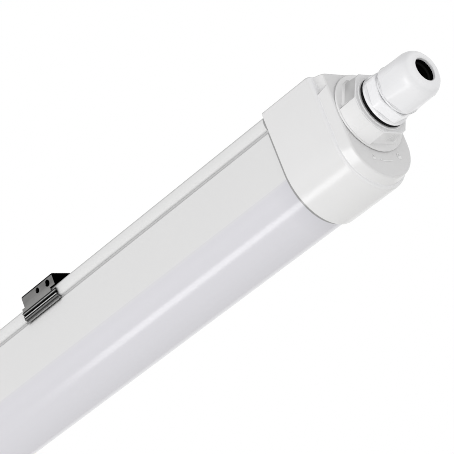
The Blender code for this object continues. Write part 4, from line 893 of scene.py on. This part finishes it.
def clip_finish():
    """Brushed steel with painted reflections and painted shade, set by depth below the ceiling."""
    made = Finish("brushed stainless", Metallic=1.0, Specular_Tint=(0, 0, 0, 1))
    scratches = made.grain(CLIP_SCRATCHES, detail=6.0, roughness=0.7)
    stains = made.grain(CLIP_STAINS, detail=3.0)
    wear = scratches * (1 - STAIN_SHARE) + stains * STAIN_SHARE
    depth = -made.place("Z")
    below_web = depth.above(WEB_DEPTH, WEB_BLUR)
    # Painted shade: the strip's inner side, and a thin band along the top of the leg.
    inside = (1 - abs(made.place("Y")).above(CLIP_INSIDE, CLIP_BLUR)) * depth.above(CLIP_BLUR * 2, CLIP_BLUR)
    corner = below_web * (1 - depth.above(CORNER_DEPTH, CORNER_BLUR))
    # The leg's painted dark reflection, lighter towards its foot.
    foot = depth.above(LEG_FOOT_DEPTH, LEG_FOOT_BLUR) * LEG_FOOT_SHARE
    leg = made.mix(foot, made.shades(wear, LEG_DARK_REFLECTION, LEG_SPREAD), LEG_FOOT_REFLECTION)
    leg = made.mix(corner.either(inside), leg, PAINTED_SHADE_STEEL)
    sheet = made.mix(below_web, made.shades(wear, WEB_STEEL, WEB_SPREAD), leg)
    # Painted highlights and shade on the folds, crest by crest.
    stops = [(fold_share(level), grey(tone)) for level, tone in FOLD_REFLECTION_TONES]
    folds = made.node("ShaderNodeValToRGB", {"stops": stops}, {"Fac": fold_share(depth)})
    made.set(Base_Color=made.mix(depth.above(FOLDS_FROM + CLIP_BLUR, CLIP_BLUR), sheet, folds))
    made.set(Roughness=CLIP_ROUGHNESS + scratches * SCRATCH_ROUGHNESS)
    return relief(made, scratches, CLIP_RELIEF, CLIP_EDGE)


dress(clip_finish(), "clip_supply", "clip_blank")

# %% [markdown]
# An LED board is white solder mask over copper. The packages stand below it, yellow with phosphor. They
# could be pieces of their own, but the CAD has them in one solid with the board, and their height alone
# tells the shader which is which. The yellow stops just short of the board, so that none of it gets on the
# mask.

# %% LED boards
PHOSPHOR_HEIGHT = 0.0006
PHOSPHOR_BLUR = 0.0001
SOLDER_MASK = (0.80, 0.80, 0.77)
PHOSPHOR = (0.80, 0.62, 0.16)
MASK_SPREAD = 0.03
PHOSPHOR_SPREAD = 0.06
BOARD_ROUGHNESS = 0.30
SPECKLE_ROUGHNESS = 0.1
PHOSPHOR_ROUGHNESS = 0.2
BOARD_GRAIN = 900.0
BOARD_RELIEF = 0.00001
phosphor_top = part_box("led_board_supply")[0].z + PHOSPHOR_HEIGHT


def board_finish():
    """Solder mask, and phosphor on the packages below it."""
    made = Finish("led board")
    speckle = made.grain(BOARD_GRAIN, detail=3.0)
    package = 1 - made.place("Z").above(phosphor_top, PHOSPHOR_BLUR)
    mask = made.shades(speckle, SOLDER_MASK, MASK_SPREAD)
    phosphor = made.shades(speckle, PHOSPHOR, PHOSPHOR_SPREAD)
    made.set(Base_Color=made.mix(package, mask, phosphor))
    made.set(Roughness=BOARD_ROUGHNESS + speckle * SPECKLE_ROUGHNESS + package * PHOSPHOR_ROUGHNESS)
    return relief(made, speckle, BOARD_RELIEF)


dress(board_finish(), "led_board_supply", "led_board_blank")
print("dressed", len(dressed), "of", len(nodes), "solids")
